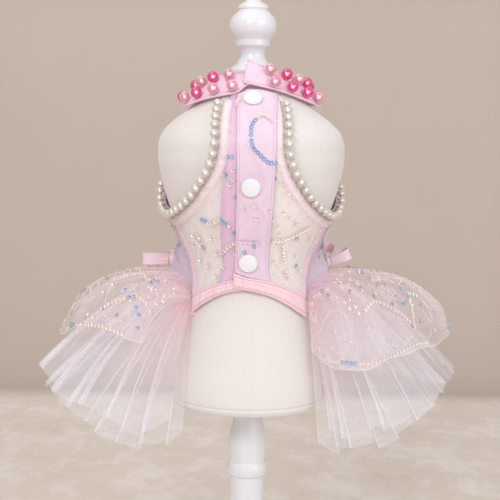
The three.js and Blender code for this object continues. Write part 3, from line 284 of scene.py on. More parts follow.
BODICE_SINGLES = (
    (14.5, 303, 0.7), (10, 306, 0.45), (10.4, 300, 0.5), (12.6, 297, 0.4), (14.8, 336, 0.05),
    (13.6, 329, 0.4), (15.6, 322, 0.1), (-13.8, 301, 0.7), (-18.6, 298, 0.3), (-23, 292, 0.1),
    (8.8, 289, 0.75), (-12.2, 281, 0.5), (-15.4, 275, 0.5), (-22, 279, 0.05), (-28, 276, 0.1),
    (-19.6, 270, 0.1), (-34, 272, 0.4), (-38, 262, 0.9), (-29, 288, 0.45), (-21, 265, 0.3),
    (42, 262, 0.05), (31, 262, 0.3), (24, 243, 0.1), (41, 243, 0.5), (34, 236, 0.05),
    (-22, 246, 0.3), (-44, 250, 0.1), (-47, 243, 0.7), (-25, 238, 0.05), (4, 282, 0.5),
    (-4, 276, 0.4), (11.6, 266, 0.7), (12.4, 252.6, 0.5), (4.6, 254.4, 0.7), (-3, 257.4, 0.62),
    (-2.6, 284, 0.1), (53, 256, 0.4), (-55, 262, 0.3), (50, 246, 0.1), (-53, 240, 0.05),
)


# The stage: boards in millimetres, and the camera in metres, degrees of tilt and radians of roll.
WALL_Y = 684.0
WALL_HIGH = 3000
FLOOR_Z = -0.5
STAGE_REACH = 4000
LENS = 80.424
CAMERA_AIMS_AT = 0.25
CAMERA_AWAY = 0.760
CAMERA_TILT = 5.6
CAMERA_ROLL = 0.0143


# ---------------------------------------------------------------- sizes and colours to change
def linear(colour):
    """An sRGB hex colour as linear red, green, blue."""
    channels = [int(colour[k:k + 2], 16) / 255 for k in (1, 3, 5)]
    return tuple(c / 12.92 if c <= 0.04045 else ((c + 0.055) / 1.055) ** 2.4 for c in channels)


def size(name, description, default, low=0.0001, high=0.1):
    return bpy.props.FloatProperty(
        name=name, description=description, default=default, min=low, max=high,
        precision=5, subtype="DISTANCE", unit="LENGTH")


def colour(name, description, default):
    return bpy.props.FloatVectorProperty(
        name=name, description=description, default=linear(default), size=3, min=0, max=1,
        subtype="COLOR")


class DressSizes(bpy.types.PropertyGroup):
    collar_pearl: size("Collar pearl", "Diameter of the large pearls on the collar", 0.0076)
    trim_pearl: size("Armhole pearl", "Diameter of the small pearls on the armholes", 0.0054)
    trim_pitch: size("Pearl spacing", "From one small pearl to the next", 0.0067)
    sequin: size("Sequin", "Diameter of a cup sequin", 0.0027)
    sequin_pitch: size("Sequin spacing", "From one sequin to the next in a chain", 0.0027)
    thread: size("Embroidery thread", "Thickness of the embroidery thread", 0.00042)
    stitch: size("Stitch", "Length of a topstitch, with its gap", 0.0025)
    cap: size("Snap cap", "Diameter of a snap's cap", 0.012)
    ribbon: size("Ribbon", "Width of the satin ribbon", 0.0079)
    pleats_upper: bpy.props.IntProperty(
        name="Upper pleats", description="Knife pleats in the upper tulle", default=46, min=8,
        max=80)
    pleats_under: bpy.props.IntProperty(
        name="Under pleats", description="Knife pleats in the lower tulle", default=50, min=8,
        max=80)
    gathers: bpy.props.IntProperty(
        name="Gathers", description="Soft folds in the sequined layer", default=34, min=8, max=60)


class DressColours(bpy.types.PropertyGroup):
    paint: colour("Paint", "Gloss paint on the wood", "#ebeaec")
    cover: colour("Cover", "Jersey over the form", "#ece5df")
    lilac: colour("Lilac satin", "Plackets and back", "#f3dcea")
    band: colour("Collar", "Collar cloth", "#f9dce9")
    salmon: colour("Binding", "Hem binding and seam tape", "#ffe0e4")
    mesh: colour("Embroidered mesh", "Sheer mesh of the front and the top skirt", "#f7eef2")
    tulle: colour("Tulle", "Pleated skirt layers", "#f4f0f8")
    ribbon: colour("Ribbon", "Satin bows", "#fee3e9")
    pearl: colour("White pearl", "Pearls along the armholes", "#fdf8f1")
    pearl_light: colour("Light pink pearl", "Light pearls on the collar", "#ffd8dc")
    pearl_hot: colour("Hot pink pearl", "Dark pearls on the collar", "#fb4fa2")
    wall: colour("Backdrop", "Wall behind the form", "#cdbfb3")
    floor: colour("Floor", "Floor under the form", "#e4d8cc")


def sizes():
    """The sizes set in the sidebar."""
    return bpy.context.scene.tulle_dress_sizes


def colours():
    """The colours set in the sidebar."""
    return bpy.context.scene.tulle_dress_colours


# ---------------------------------------------------------------- curves through the tables
CURVES = {}


def read(rows, by, column, at):
    """A column's value between its rows, on a smooth curve that does not overshoot."""
    key = (id(rows), by, column)
    if key not in CURVES:
        order = sorted(rows, key=lambda row: row[by])
        xs = [row[by] for row in order]
        ys = [row[column] for row in order]
        slopes = [(ys[k + 1] - ys[k]) / (xs[k + 1] - xs[k]) for k in range(len(xs) - 1)]
        inner = [0 if a * b <= 0 else 2 * a * b / (a + b) for a, b in zip(slopes, slopes[1:])]
        CURVES[key] = (xs, ys, [slopes[0], *inner, slopes[-1]])
    xs, ys, tangents = CURVES[key]
    if at <= xs[0]:
        return ys[0]
    if at >= xs[-1]:
        return ys[-1]
    i = 0
    while at > xs[i + 1]:
        i += 1
    gap = xs[i + 1] - xs[i]
    t = (at - xs[i]) / gap
    s = 1 - t
    return (ys[i] * s * s * (1 + 2 * t) + ys[i + 1] * t * t * (3 - 2 * t)
            + gap * s * t * (tangents[i] * s - tangents[i + 1] * t))


def along(rows, columns, share):
    """A smooth curve through all the rows by share of its rows, for tables that turn back."""
    place = min(len(rows) - 1 - 1e-9, max(0.0, share * (len(rows) - 1)))
    i = int(place)
    t = place - i
    result = {}
    for column in columns:
        p0 = rows[max(0, i - 1)][column]
        p1 = rows[i][column]
        p2 = rows[i + 1][column]
        p3 = rows[min(len(rows) - 1, i + 2)][column]
        result[column] = 0.5 * (2 * p1 + (p2 - p0) * t + (2 * p0 - 5 * p1 + 4 * p2 - p3) * t * t
                                + (3 * p1 - p0 - 3 * p2 + p3) * t ** 3)
    return result


def smoothstep(low, high, x):
    """0 at low, 1 at high and smooth between; high may be the smaller one."""
    t = min(1.0, max(0.0, (x - low) / (high - low)))
    return t * t * (3 - 2 * t)


def hump(x, centre, width):
    """A soft hump of height 1."""
    return math.exp(-(((x - centre) / width) ** 2))


# ---------------------------------------------------------------- the form's surface
def on_form(turn, z):
    wide = read(FORM_ROWS, "z", "wide", z)
    deep = read(FORM_ROWS, "z", "deep", z)
    a = math.radians(turn)
    return Vector((-wide * math.sin(a), -deep * math.cos(a), z))


def form_normal(turn, z):
    around = on_form(turn + 0.5, z) - on_form(turn - 0.5, z)
    up = on_form(turn, z + 0.5) - on_form(turn, z - 0.5)
    return up.cross(around).normalized()


def flare(turn, z):
    """How far the cloth hangs clear of the form, at the back alone."""
    whole = turn % 360
    folded = 360 - whole if whole > 180 else whole
    return read(FLARE_ROWS, "z", "out", z) * smoothstep(FLARE_FROM, FLARE_FULL, folded)


def on_cloth(turn, z, out):
    """A point of the cloth, out from the form or from the hang of the back."""
    return on_form(turn, z) + form_normal(turn, z) * (out + flare(turn, z))


def on_cloth_at(turn, z, out):
    """The same, where the point itself, and not its foot on the form, is at the height z."""
    foot = z
    for _ in range(6):
        foot += z - on_cloth(turn, foot, out).z
    return on_cloth(turn, foot, out)


def turn_at(x, z):
    """The turn of a point of the belly side at a distance x from the centre line."""
    return -math.degrees(math.asin(x / (read(FORM_ROWS, "z", "wide", z) + LAYER_2)))


def slide(turn, z, direction, distance):
    """Moves a place on the cloth by a distance along a direction that lies in the cloth."""
    here = on_cloth(turn, z, 0)
    around = on_cloth(turn + 1, z, 0) - here
    up = on_cloth(turn, z + 1, 0) - here
    a = around.dot(around)
    b = around.dot(up)
    c = up.dot(up)
    p = around.dot(direction) * distance
    q = up.dot(direction) * distance
    whole = a * c - b * b
    return turn + (p * c - q * b) / whole, z + (q * a - p * b) / whole


# ---------------------------------------------------------------- meshes
def span(count, edge=0.0):
    """Shares from 0 to 1, with one more close to each end where an edge is rounded."""
    inner = [k / count for k in range(count + 1)]
    if edge:
        inner[1:1] = [edge]
        inner[-1:-1] = [1 - edge]
    return inner


def finish_piece(obj, replaces=()):
    """Puts a piece on the part's body and takes the place of its solids."""
    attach(obj, "root")
    if replaces:
        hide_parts(*replaces)
    return obj


def object_from(name, points, faces, material, uv=None, attributes=None, smooth=True):
    """A mesh object from points in millimetres."""
    mesh = bpy.data.meshes.new(name)
    mesh.from_pydata([tuple(c * MM for c in p) for p in points], [], faces)
    mesh.polygons.foreach_set("use_smooth", [smooth] * len(faces))
    if uv:
        layer = mesh.uv_layers.new(name="cloth")
        flat = [c for loop in mesh.loops for c in uv[loop.vertex_index]]
        layer.data.foreach_set("uv", flat)
    for key, values in (attributes or {}).items():
        mesh.attributes.new(key, "FLOAT", "POINT").data.foreach_set("value", values)
    mesh.materials.append(material)
    mesh.validate()
    obj = bpy.data.objects.new(name, mesh)
    bpy.context.scene.collection.objects.link(obj)
    return obj


def cloth(name, us, vs, place, material, wall=0.0, cut=(0.1, 0.1), marks=None, run=None):
    """A grid of cloth over us and vs. place(u, v, out) gives a point, out in mm off its inner
    face. wall 0 leaves one face only. cut is the flat size in metres that the UV map runs over,
    and run the distance across the cut of each column where they are uneven. marks are
    attributes by name, each a function of u and v."""
    columns, rows = len(us), len(vs)
    sides = (0.0, wall) if wall else (0.0,)
    points, uv = [], []
    values = {key: [] for key in (marks or {})}
    for side, out in enumerate(sides):
        for j, v in enumerate(vs):
            for i, u in enumerate(us):
                rim = wall and (i in (0, columns - 1) or j in (0, rows - 1))
                lift = wall * (0.7 if side else 0.3) if rim else out
                points.append(place(u, v, lift))
                uv.append((run[i] if run else u * cut[0], v * cut[1]))
                for key, mark in (marks or {}).items():
                    values[key].append(mark(u, v))

    def at(i, j, side):
        return side * columns * rows + j * columns + i

    i, j = columns // 2, rows // 2
    a, b, c = points[at(i, j, 0)], points[at(i - 1, j, 0)], points[at(i, j - 1, 0)]
    outward = place(us[i], vs[j], 1.0) - a
    forward = (b - a).cross(c - a).dot(outward) > 0
    top = len(sides) - 1
    faces = []
    for j in range(rows - 1):
        for i in range(columns - 1):
            quad = (at(i, j, top), at(i + 1, j, top), at(i + 1, j + 1, top), at(i, j + 1, top))
            faces.append(quad if forward else quad[::-1])
            if wall:
                quad = (at(i, j, 0), at(i, j + 1, 0), at(i + 1, j + 1, 0), at(i + 1, j, 0))
                faces.append(quad if forward else quad[::-1])
    if wall:
        rim = [(i, 0) for i in range(columns)]
        rim += [(columns - 1, j) for j in range(1, rows)]
        rim += [(i, rows - 1) for i in range(columns - 2, -1, -1)]
        rim += [(0, j) for j in range(rows - 2, 0, -1)]
        for k, (i, j) in enumerate(rim):
            m, n = rim[(k + 1) % len(rim)]
            quad = (at(i, j, 0), at(m, n, 0), at(m, n, 1), at(i, j, 1))
            faces.append(quad if forward else quad[::-1])
    return object_from(name, points, faces, material, uv, values)


def ring_faces(sides, rings, flip=False):
    """Faces over rings of points, from a point below to a point above."""
    faces = []
    last = 1 + (rings - 1) * sides
    for i in range(sides):
        n = (i + 1) % sides
        faces.append((0, 1 + n, 1 + i))
        faces.append((last + sides, last + i, last + n))
        for a in range(1, last, sides):
            faces.append((a + i, a + n, a + sides + n, a + sides + i))
    return [(face[0], *face[:0:-1]) for face in faces] if flip else faces


def lathe(name, rows, sides, material):
    """A turned part whose corners are rounded as far as each row lets them."""
    profile = []
    for k, row in enumerate(rows):
        here = Vector((row["r"], row["z"]))
        if not row["soft"]:
            profile.append(here)
            continue
        before = Vector((rows[k - 1]["r"], rows[k - 1]["z"])) - here
        after = Vector((rows[k + 1]["r"], rows[k + 1]["z"])) - here
        reach_in = min(row["soft"], before.length * 0.5)
        reach_out = min(row["soft"], after.length * 0.5)
        start = here + before.normalized() * reach_in
        end = here + after.normalized() * reach_out
        for step in range(6):
            t = step / 5
            p = start * (1 - t) ** 2 + here * 2 * t * (1 - t) + end * t * t
            if not profile or (p - profile[-1]).length > 0.02:
                profile.append(p)
    rings = profile[1:-1]
    points = [Vector((0, 0, profile[0].y))]
    for p in rings:
        for i in range(sides):
            a = 2 * math.pi * i / sides
            points.append(Vector((p.x * math.cos(a), p.x * math.sin(a), p.y)))
    points.append(Vector((0, 0, profile[-1].y)))
    faces = ring_faces(sides, len(rings))
    return object_from(name, points, faces, material)


def path_object(name, paths, aims=None, tints=None):
    """Lines of points for a Geometry Nodes tree to follow; each line is one chain of edges."""
    points, edges = [], []
    for path in paths:
        start = len(points)
        points += path
        edges += [(start + k, start + k + 1) for k in range(len(path) - 1)]
    mesh = bpy.data.meshes.new(name)
    mesh.from_pydata([tuple(c * MM for c in p) for p in points], edges, [])
    if aims:
        flat = [c for aim in aims for c in aim]
        mesh.attributes.new("aim", "FLOAT_VECTOR", "POINT").data.foreach_set("vector", flat)
    if tints:
        mesh.attributes.new("tint", "FLOAT", "POINT").data.foreach_set("value", tints)
    obj = bpy.data.objects.new(name, mesh)
    bpy.context.scene.collection.objects.link(obj)
    return obj


def resample(path, pitch):
    """Points at an even pitch along a line of points, the first at half a pitch."""
    lengths = [0.0]
    for a, b in zip(path, path[1:]):
        lengths.append(lengths[-1] + (b - a).length)
    count = max(1, round(lengths[-1] / pitch))
    result = []
    k = 0
    for n in range(count):
        want = (n + 0.5) * lengths[-1] / count
        while k < len(lengths) - 2 and lengths[k + 1] < want:
            k += 1
        t = (want - lengths[k]) / max(1e-9, lengths[k + 1] - lengths[k])
        result.append((k + t, path[k].lerp(path[k + 1], t)))
    return result


# ---------------------------------------------------------------- nodes
def feed(tree, node, values=None, links=None):
    """Sets a node's sockets, and links others to a socket or to a node's first output."""
    for key, value in (values or {}).items():
        node.inputs[key].default_value = value
    for key, source in (links or {}).items():
        if isinstance(source, bpy.types.Node):
            source = source.outputs[0]
        tree.links.new(source, node.inputs[key])


def add(tree, kind, settings=None, values=None, links=None):
    """Adds one node with its settings, its sockets' values and what feeds its sockets."""
    node = tree.nodes.new(kind)
    for key, value in (settings or {}).items():
        setattr(node, key, value)
    feed(tree, node, values, links)
    return node


def new_tree(name, inputs):
    """A Geometry Nodes tree with named inputs: name to (socket type, value)."""
    tree = bpy.data.node_groups.new(name, "GeometryNodeTree")
    tree.interface.new_socket("Geometry", in_out="INPUT", socket_type="NodeSocketGeometry")
    for label, (kind, value) in inputs.items():
        socket = tree.interface.new_socket(label, in_out="INPUT", socket_type=kind)
        if value is not None:
            socket.default_value = value
    tree.interface.new_socket("Geometry", in_out="OUTPUT", socket_type="NodeSocketGeometry")
    return tree


def close_tree(tree, given, geometry):
    """Ends a tree: instances made real, and the material put on."""
    real = add(tree, "GeometryNodeRealizeInstances", links={"Geometry": geometry})
    dressed = add(tree, "GeometryNodeSetMaterial",
                  links={"Geometry": real, "Material": given.outputs["Material"]})
    add(tree, "NodeGroupOutput", links={"Geometry": dressed})
    return tree


def run_tree(obj, tree, inputs, material):
    """Runs a tree on an object, keeps the result as a plain mesh and drops the modifier."""
    modifier = obj.modifiers.new("build", "NODES")
    modifier.node_group = tree
    for item in tree.interface.items_tree:
        if item.item_type == "SOCKET" and item.in_out == "INPUT" and item.name in inputs:
            modifier[item.identifier] = inputs[item.name]
    depsgraph = bpy.context.evaluated_depsgraph_get()
    mesh = bpy.data.meshes.new_from_object(obj.evaluated_get(depsgraph))
    obj.modifiers.remove(modifier)
    mesh.name = obj.name
    obj.data = mesh
    if not mesh.polygons:
        raise RuntimeError(f"{obj.name} came out empty")
    mesh.materials.clear()
    mesh.materials.append(material)
    return obj


def sew(name, lines, pitch, thick, material):
    """A piece of topstitches along its lines."""
    piece = path_object(name, lines)
    run_tree(piece, stitch_tree(), {"Pitch": pitch, "Thread": thick}, material)
    return finish_piece(piece)


def ball_tree():
    """Round beads on each point, and a thread through them where its radius is not 0."""
    tree = bpy.data.node_groups.get("beads on points")
    if tree:
        return tree
    tree = new_tree("beads on points", {
        "Radius": ("NodeSocketFloat", 0.003),
        "Thread": ("NodeSocketFloat", 0.0),
        "Segments": ("NodeSocketInt", 18),
        "Rings": ("NodeSocketInt", 12),
        "Material": ("NodeSocketMaterial", None),
    })
    given = add(tree, "NodeGroupInput")
    ball = add(tree, "GeometryNodeMeshUVSphere",
               links={"Segments": given.outputs["Segments"], "Rings": given.outputs["Rings"],
                      "Radius": given.outputs["Radius"]})
    tilt = add(tree, "FunctionNodeRandomValue", {"data_type": "FLOAT_VECTOR"},
               {"Min": (-0.5, -0.5, 0.0), "Max": (0.5, 0.5, 6.28), "Seed": 4})
    placed = add(tree, "GeometryNodeInstanceOnPoints",
                 links={"Points": given.outputs["Geometry"], "Instance": ball,
                        "Rotation": tilt.outputs["Value"]})
    line = add(tree, "GeometryNodeMeshToCurve", links={"Mesh": given.outputs["Geometry"]})
    ring = add(tree, "GeometryNodeCurvePrimitiveCircle", values={"Resolution": 6},
               links={"Radius": given.outputs["Thread"]})
    cord = add(tree, "GeometryNodeCurveToMesh", values={"Fill Caps": True},
               links={"Curve": line, "Profile Curve": ring})
    wanted = add(tree, "FunctionNodeCompare", {"data_type": "FLOAT", "operation": "GREATER_THAN"},
                 {"B": 1e-6}, {"A": given.outputs["Thread"]})
    kept = add(tree, "GeometryNodeSwitch", {"input_type": "GEOMETRY"},
               links={"Switch": wanted, "True": cord})
    both = add(tree, "GeometryNodeJoinGeometry", links={"Geometry": placed})
    feed(tree, both, links={"Geometry": kept})
    smooth = add(tree, "GeometryNodeSetShadeSmooth", links={"Geometry": both})
    return close_tree(tree, given, smooth)


def sequin_tree():
    """Cupped sequins with a hole, each turned to its point's aim."""
    tree = bpy.data.node_groups.get("cup sequins")
    if tree:
        return tree
    tree = new_tree("cup sequins", {
        "Diameter": ("NodeSocketFloat", 0.0027),
        "Material": ("NodeSocketMaterial", None),
    })
    given = add(tree, "NodeGroupInput")

    def radius(share):
        return add(tree, "ShaderNodeMath", {"operation": "MULTIPLY"}, {1: share},
                   {0: given.outputs["Diameter"]})

    cup = add(tree, "GeometryNodeMeshCone", {"fill_type": "NONE"}, {"Vertices": 11},
              {"Radius Top": radius(0.5), "Radius Bottom": radius(0.34), "Depth": radius(0.1)})
    flat = add(tree, "GeometryNodeMeshCone", {"fill_type": "NONE"}, {"Vertices": 11},
               {"Radius Top": radius(0.34), "Radius Bottom": radius(0.24), "Depth": radius(0.02)})
    lower = add(tree, "ShaderNodeCombineXYZ", links={"Z": radius(-0.02)})
    flat_low = add(tree, "GeometryNodeTransform", links={"Geometry": flat, "Translation": lower})
    # The flat inner ring is marked, and the material paints it in shade.
    marked = add(tree, "GeometryNodeStoreNamedAttribute", {"data_type": "FLOAT"},
                 {"Name": "inner", "Value": 1.0}, {"Geometry": flat_low})
    one = add(tree, "GeometryNodeJoinGeometry", links={"Geometry": cup})
    feed(tree, one, links={"Geometry": marked})
    aim = add(tree, "GeometryNodeInputNamedAttribute", {"data_type": "FLOAT_VECTOR"},
              {"Name": "aim"})
    turned = add(tree, "FunctionNodeAlignRotationToVector", {"axis": "Z"}, links={"Vector": aim})
    placed = add(tree, "GeometryNodeInstanceOnPoints",
                 links={"Points": given.outputs["Geometry"], "Instance": one, "Rotation": turned})
    return close_tree(tree, given, placed)


def stitch_tree():
    """Short rounded stitches along each line, one for each pitch, with a gap between two."""
    tree = bpy.data.node_groups.get("topstitches")
    if tree:
        return tree
    tree = new_tree("topstitches", {
        "Pitch": ("NodeSocketFloat", 0.0025),
        "Thread": ("NodeSocketFloat", 0.00022),
        "Material": ("NodeSocketMaterial", None),
    })
    given = add(tree, "NodeGroupInput")
    line = add(tree, "GeometryNodeMeshToCurve", links={"Mesh": given.outputs["Geometry"]})
    spots = add(tree, "GeometryNodeResampleCurve", {"mode": "LENGTH"},
                links={"Curve": line, "Length": given.outputs["Pitch"]})
    length = add(tree, "ShaderNodeMath", {"operation": "MULTIPLY"}, {1: 0.72},
                 {0: given.outputs["Pitch"]})
    bar = add(tree, "GeometryNodeMeshCylinder", {"fill_type": "TRIANGLE_FAN"}, {"Vertices": 6},
              {"Radius": given.outputs["Thread"], "Depth": length})
    run = add(tree, "GeometryNodeInputTangent")
    turned = add(tree, "FunctionNodeAlignRotationToVector", {"axis": "Z"}, links={"Vector": run})
    placed = add(tree, "GeometryNodeInstanceOnPoints",
                 links={"Points": spots, "Instance": bar, "Rotation": turned})
    return close_tree(tree, given, placed)


def thread_tree():
    """A round thread along each line."""
    tree = bpy.data.node_groups.get("laid thread")
    if tree:
        return tree
    tree = new_tree("laid thread", {
        "Radius": ("NodeSocketFloat", 0.0002),
        "Material": ("NodeSocketMaterial", None),
    })
    given = add(tree, "NodeGroupInput")
    line = add(tree, "GeometryNodeMeshToCurve", links={"Mesh": given.outputs["Geometry"]})
    ring = add(tree, "GeometryNodeCurvePrimitiveCircle", values={"Resolution": 5},
               links={"Radius": given.outputs["Radius"]})
    cord = add(tree, "GeometryNodeCurveToMesh", values={"Fill Caps": True},
               links={"Curve": line, "Profile Curve": ring})
    smooth = add(tree, "GeometryNodeSetShadeSmooth", links={"Geometry": cord})
    return close_tree(tree, given, smooth)


# ---------------------------------------------------------------- materials
def new_material(name):
    """A named material with a Principled shader, or the one that is there already."""
    found = bpy.data.materials.get(name)
    if found:
        return found, None, None
    material = bpy.data.materials.new(name)
    material.use_nodes = True
    tree = material.node_tree
    return material, tree, tree.nodes["Principled BSDF"]


def two_tones(tree, factor, first, second):
    """Mixes two linear colours."""
    mix = add(tree, "ShaderNodeMix", {"data_type": "RGBA"}, {6: (*first, 1), 7: (*second, 1)},
              {0: factor})
    return mix.outputs[2]


def darker(colour_value, share):
    """A colour at a share of its light."""
    return tuple(c * share for c in colour_value)


def towards(first, second, share):
    """A colour part of the way from one to another."""
    return tuple(a + (b - a) * share for a, b in zip(first, second))


def gloss_paint_on_beech():
    # White gloss paint brushed over turned beech: soft highlights that ripple a little round the
    # turning, where brush marks and old lathe rings show through.
    material, tree, shader = new_material("white_gloss_paint_on_turned_beech")
    if not tree:
        return material
    paint = tuple(colours().paint)
    place = add(tree, "ShaderNodeTexCoord").outputs["Object"]
    rings = add(tree, "ShaderNodeMapping", values={"Scale": (6, 6, 420)}, links={"Vector": place})
    brushed = add(tree, "ShaderNodeTexNoise", values={"Scale": 1.0, "Detail": 3.0},
                  links={"Vector": rings})
    cloud = add(tree, "ShaderNodeTexNoise", values={"Scale": 26.0, "Detail": 2.0},
                links={"Vector": place})
    rough = add(tree, "ShaderNodeMapRange", values={"To Min": 0.17, "To Max": 0.30},
                links={"Value": cloud})
    bump = add(tree, "ShaderNodeBump", values={"Strength": 0.12, "Distance": 0.0002},
               links={"Height": brushed})
    feed(tree, shader, {"Coat Weight": 0.35, "Coat Roughness": 0.12},
         {"Base Color": two_tones(tree, cloud, darker(paint, 0.975), paint), "Roughness": rough,
          "Normal": bump})
    return material


def knitted_cover():
    # Cream cotton jersey stretched over the form: matt, with fine ribs of knit. The ribs are
    # drawn 1.2 mm apart, coarser than real ones, so that they show.
    material, tree, shader = new_material("cream_cotton_jersey")
    if not tree:
        return material
    cover = tuple(colours().cover)
    place = add(tree, "ShaderNodeTexCoord").outputs["UV"]
    ribs = add(tree, "ShaderNodeTexWave", {"bands_direction": "X"},
               {"Scale": 262.0, "Distortion": 5.0, "Detail": 3.0, "Detail Scale": 1.5},
               {"Vector": place})
    fibres = add(tree, "ShaderNodeTexNoise", values={"Scale": 700.0, "Detail": 3.0},
                 links={"Vector": place})
    knit = add(tree, "ShaderNodeMath", {"operation": "MULTIPLY_ADD"}, {1: 0.4},
               {0: ribs.outputs["Fac"], 2: fibres})
    speckle = add(tree, "ShaderNodeMapRange", values={"From Min": 0.35, "From Max": 1.0},
                  links={"Value": knit})
    bump = add(tree, "ShaderNodeBump", values={"Strength": 0.3, "Distance": 0.0002},
               links={"Height": knit})
    feed(tree, shader, {"Roughness": 0.88, "Sheen Weight": 0.25, "Sheen Roughness": 0.5},
         {"Base Color": two_tones(tree, speckle, darker(cover, 0.90),
                                  tuple(min(1, c * 1.03) for c in cover)), "Normal": bump})
    return material


def woven(name, base, thread_mm, shine, sheen, slant, relief):
    """A woven cloth: a diagonal of threads, a soft cloud of colour and a low relief."""
    material, tree, shader = new_material(name)
    if not tree:
        return material
    place = add(tree, "ShaderNodeTexCoord").outputs["UV"]
    turned = add(tree, "ShaderNodeMapping", values={"Rotation": (0, 0, slant)},
                 links={"Vector": place})
    scale = 0.314 / (thread_mm * MM)
    warp = add(tree, "ShaderNodeTexWave", {"bands_direction": "X"},
               {"Scale": scale, "Distortion": 0.4, "Detail": 1.0}, {"Vector": turned})
    weft = add(tree, "ShaderNodeTexWave", {"bands_direction": "Y"},
               {"Scale": scale, "Distortion": 0.5, "Detail": 1.0}, {"Vector": turned})
    weave = add(tree, "ShaderNodeMath", {"operation": "MULTIPLY"},
                links={0: warp.outputs["Fac"], 1: weft.outputs["Fac"]})
    cloud = add(tree, "ShaderNodeTexNoise", values={"Scale": 48.0, "Detail": 3.0},
                links={"Vector": place})
    tone = add(tree, "ShaderNodeMath", {"operation": "MULTIPLY_ADD"}, {1: 0.5, 2: -0.06},
               {0: weave})
    both = add(tree, "ShaderNodeMath", {"operation": "ADD", "use_clamp": True},
               links={0: tone, 1: cloud})
    deep = tuple(c * share for c, share in zip(base, (0.89, 0.81, 0.87)))
    bump = add(tree, "ShaderNodeBump", values={"Strength": relief, "Distance": 0.00025},
               links={"Height": weave})
    feed(tree, shader, {"Roughness": shine, "Sheen Weight": sheen, "Sheen Roughness": 0.4},
         {"Base Color": two_tones(tree, both, deep, base), "Normal": bump})
    return material


def lilac_satin():
    # Lilac polyester satin, a slanted weave with a soft broad shine.
    return woven("lilac_polyester_satin", tuple(colours().lilac), 1.3, 0.45, 0.3, 0.75, 0.5)


def shaded_satin():
    # The same satin where the lapping strip shades it and it folds: deeper and pinker.
    base = tuple(a * b for a, b in zip(tuple(colours().lilac), (0.93, 0.83, 0.89)))
    return woven("lilac_polyester_satin_under_lap", base, 1.3, 0.45, 0.3, 0.75, 0.5)


def back_satin():
    # The same satin at the back in a deeper grey mauve, partly its look under the mesh and partly
    # painted shade, as the back turns away from the lamps.
    base = towards(tuple(colours().lilac), linear("#bda8c2"), 0.85)
    return woven("mauve_satin_with_painted_shade", base, 1.3, 0.55, 0.25, 0.75, 0.25)


def collar_cloth():
    # Pink-lilac satin over stiff interfacing, a fine even weave.
    return woven("pink_lilac_interfaced_satin", tuple(colours().band), 1.2, 0.55, 0.25, 0.1, 0.25)


def salmon_tape():
    # Salmon pink woven cotton tape, matt, with a plain coarse weave.
    return woven("salmon_cotton_binding", tuple(colours().salmon), 1.4, 0.75, 0.2, 0.0, 0.45)


def seam_tape():
    # The same tape seen through the mesh that lies over it.
    base = towards(tuple(colours().salmon), tuple(colours().mesh), 0.2)
    return woven("salmon_tape_under_mesh", base, 1.6, 0.8, 0.2, 0.4, 0.5)


def sheer_net(name, base, thin, dense, crest_gain, crest_painted_highlight):
    """Sheer net: see-through between its threads, denser along fold crests, where its colour also
    turns towards white as a painted highlight. The cells are drawn coarser than real ones, so that
    their grain shows."""
    material, tree, shader = new_material(name)
    if not tree:
        return material
    place = add(tree, "ShaderNodeTexCoord").outputs["UV"]
    cells = add(tree, "ShaderNodeTexVoronoi", {"feature": "DISTANCE_TO_EDGE"},
                {"Scale": 1 / (NET_CELL * MM)}, {"Vector": place})
    thread = add(tree, "ShaderNodeMapRange",
                 values={"From Min": 0.0, "From Max": 0.32, "To Min": dense, "To Max": thin},
                 links={"Value": cells})
    cloud = add(tree, "ShaderNodeTexNoise", values={"Scale": 70.0, "Detail": 4.0},
                links={"Vector": place})
    worn = add(tree, "ShaderNodeMapRange", values={"To Min": 0.82, "To Max": 1.16},
               links={"Value": cloud})
    alpha = add(tree, "ShaderNodeMath", {"operation": "MULTIPLY"}, links={0: thread, 1: worn})
    crest_highlight_and_density = add(tree, "ShaderNodeAttribute", {"attribute_name": "crest_highlight_and_density"})
    gain = add(tree, "ShaderNodeMath", {"operation": "MULTIPLY_ADD", "use_clamp": True},
               {1: crest_gain}, {0: crest_highlight_and_density.outputs["Fac"], 2: alpha})
    # Painted highlight: the colour turns towards white along the crests of folds and pleat edges.
    bright = two_tones(tree, crest_highlight_and_density.outputs["Fac"], base, towards(base, (1, 1, 1), crest_painted_highlight))
    near = add(tree, "ShaderNodeAttribute", {"attribute_name": "near_seam"})
    pink = add(tree, "ShaderNodeMix", {"data_type": "RGBA"}, {7: (*linear("#f9c4ce"), 1)},
               {0: near.outputs["Fac"], 6: bright})
    feed(tree, shader,
         {"Roughness": 0.7, "Sheen Weight": 0.4, "Sheen Roughness": 0.35,
          "Specular IOR Level": 0.25}, {"Alpha": gain, "Base Color": pink.outputs[2]})
    return material


def nylon_tulle():
    # Soft nylon tulle: a fine haze that lets the backdrop through, denser along each pleat's edge,
    # with a painted highlight there.
    return sheer_net("nylon_tulle", tuple(colours().tulle), 0.13, 0.22, 0.25, 0.7)


def embroidered_net():
    # Fine polyester net of the top layer, thinner than the tulle, with soft gathers that carry a
    # painted highlight on their ridges.
    return sheer_net("embroidered_polyester_net", tuple(colours().mesh), 0.11, 0.2, 0.34, 0.8)


def bodice_net():
    # The same net stretched over the form, where only its grain and a grey-pink haze show, with a
    # faint painted highlight on its creases.
    base = towards(tuple(colours().mesh), linear("#fff4f5"), 0.95)
    return sheer_net("stretched_polyester_net", base, 0.27, 0.37, 0.10, 0.5)


def folded_net():
    # A strip of the net folded three times over the armhole's edge: a milky pink band, with a
    # painted highlight on its gathers.
    base = towards(tuple(colours().mesh), linear("#ffecee"), 0.7)
    return sheer_net("folded_net_binding", base, 0.42, 0.58, 0.2, 0.5)


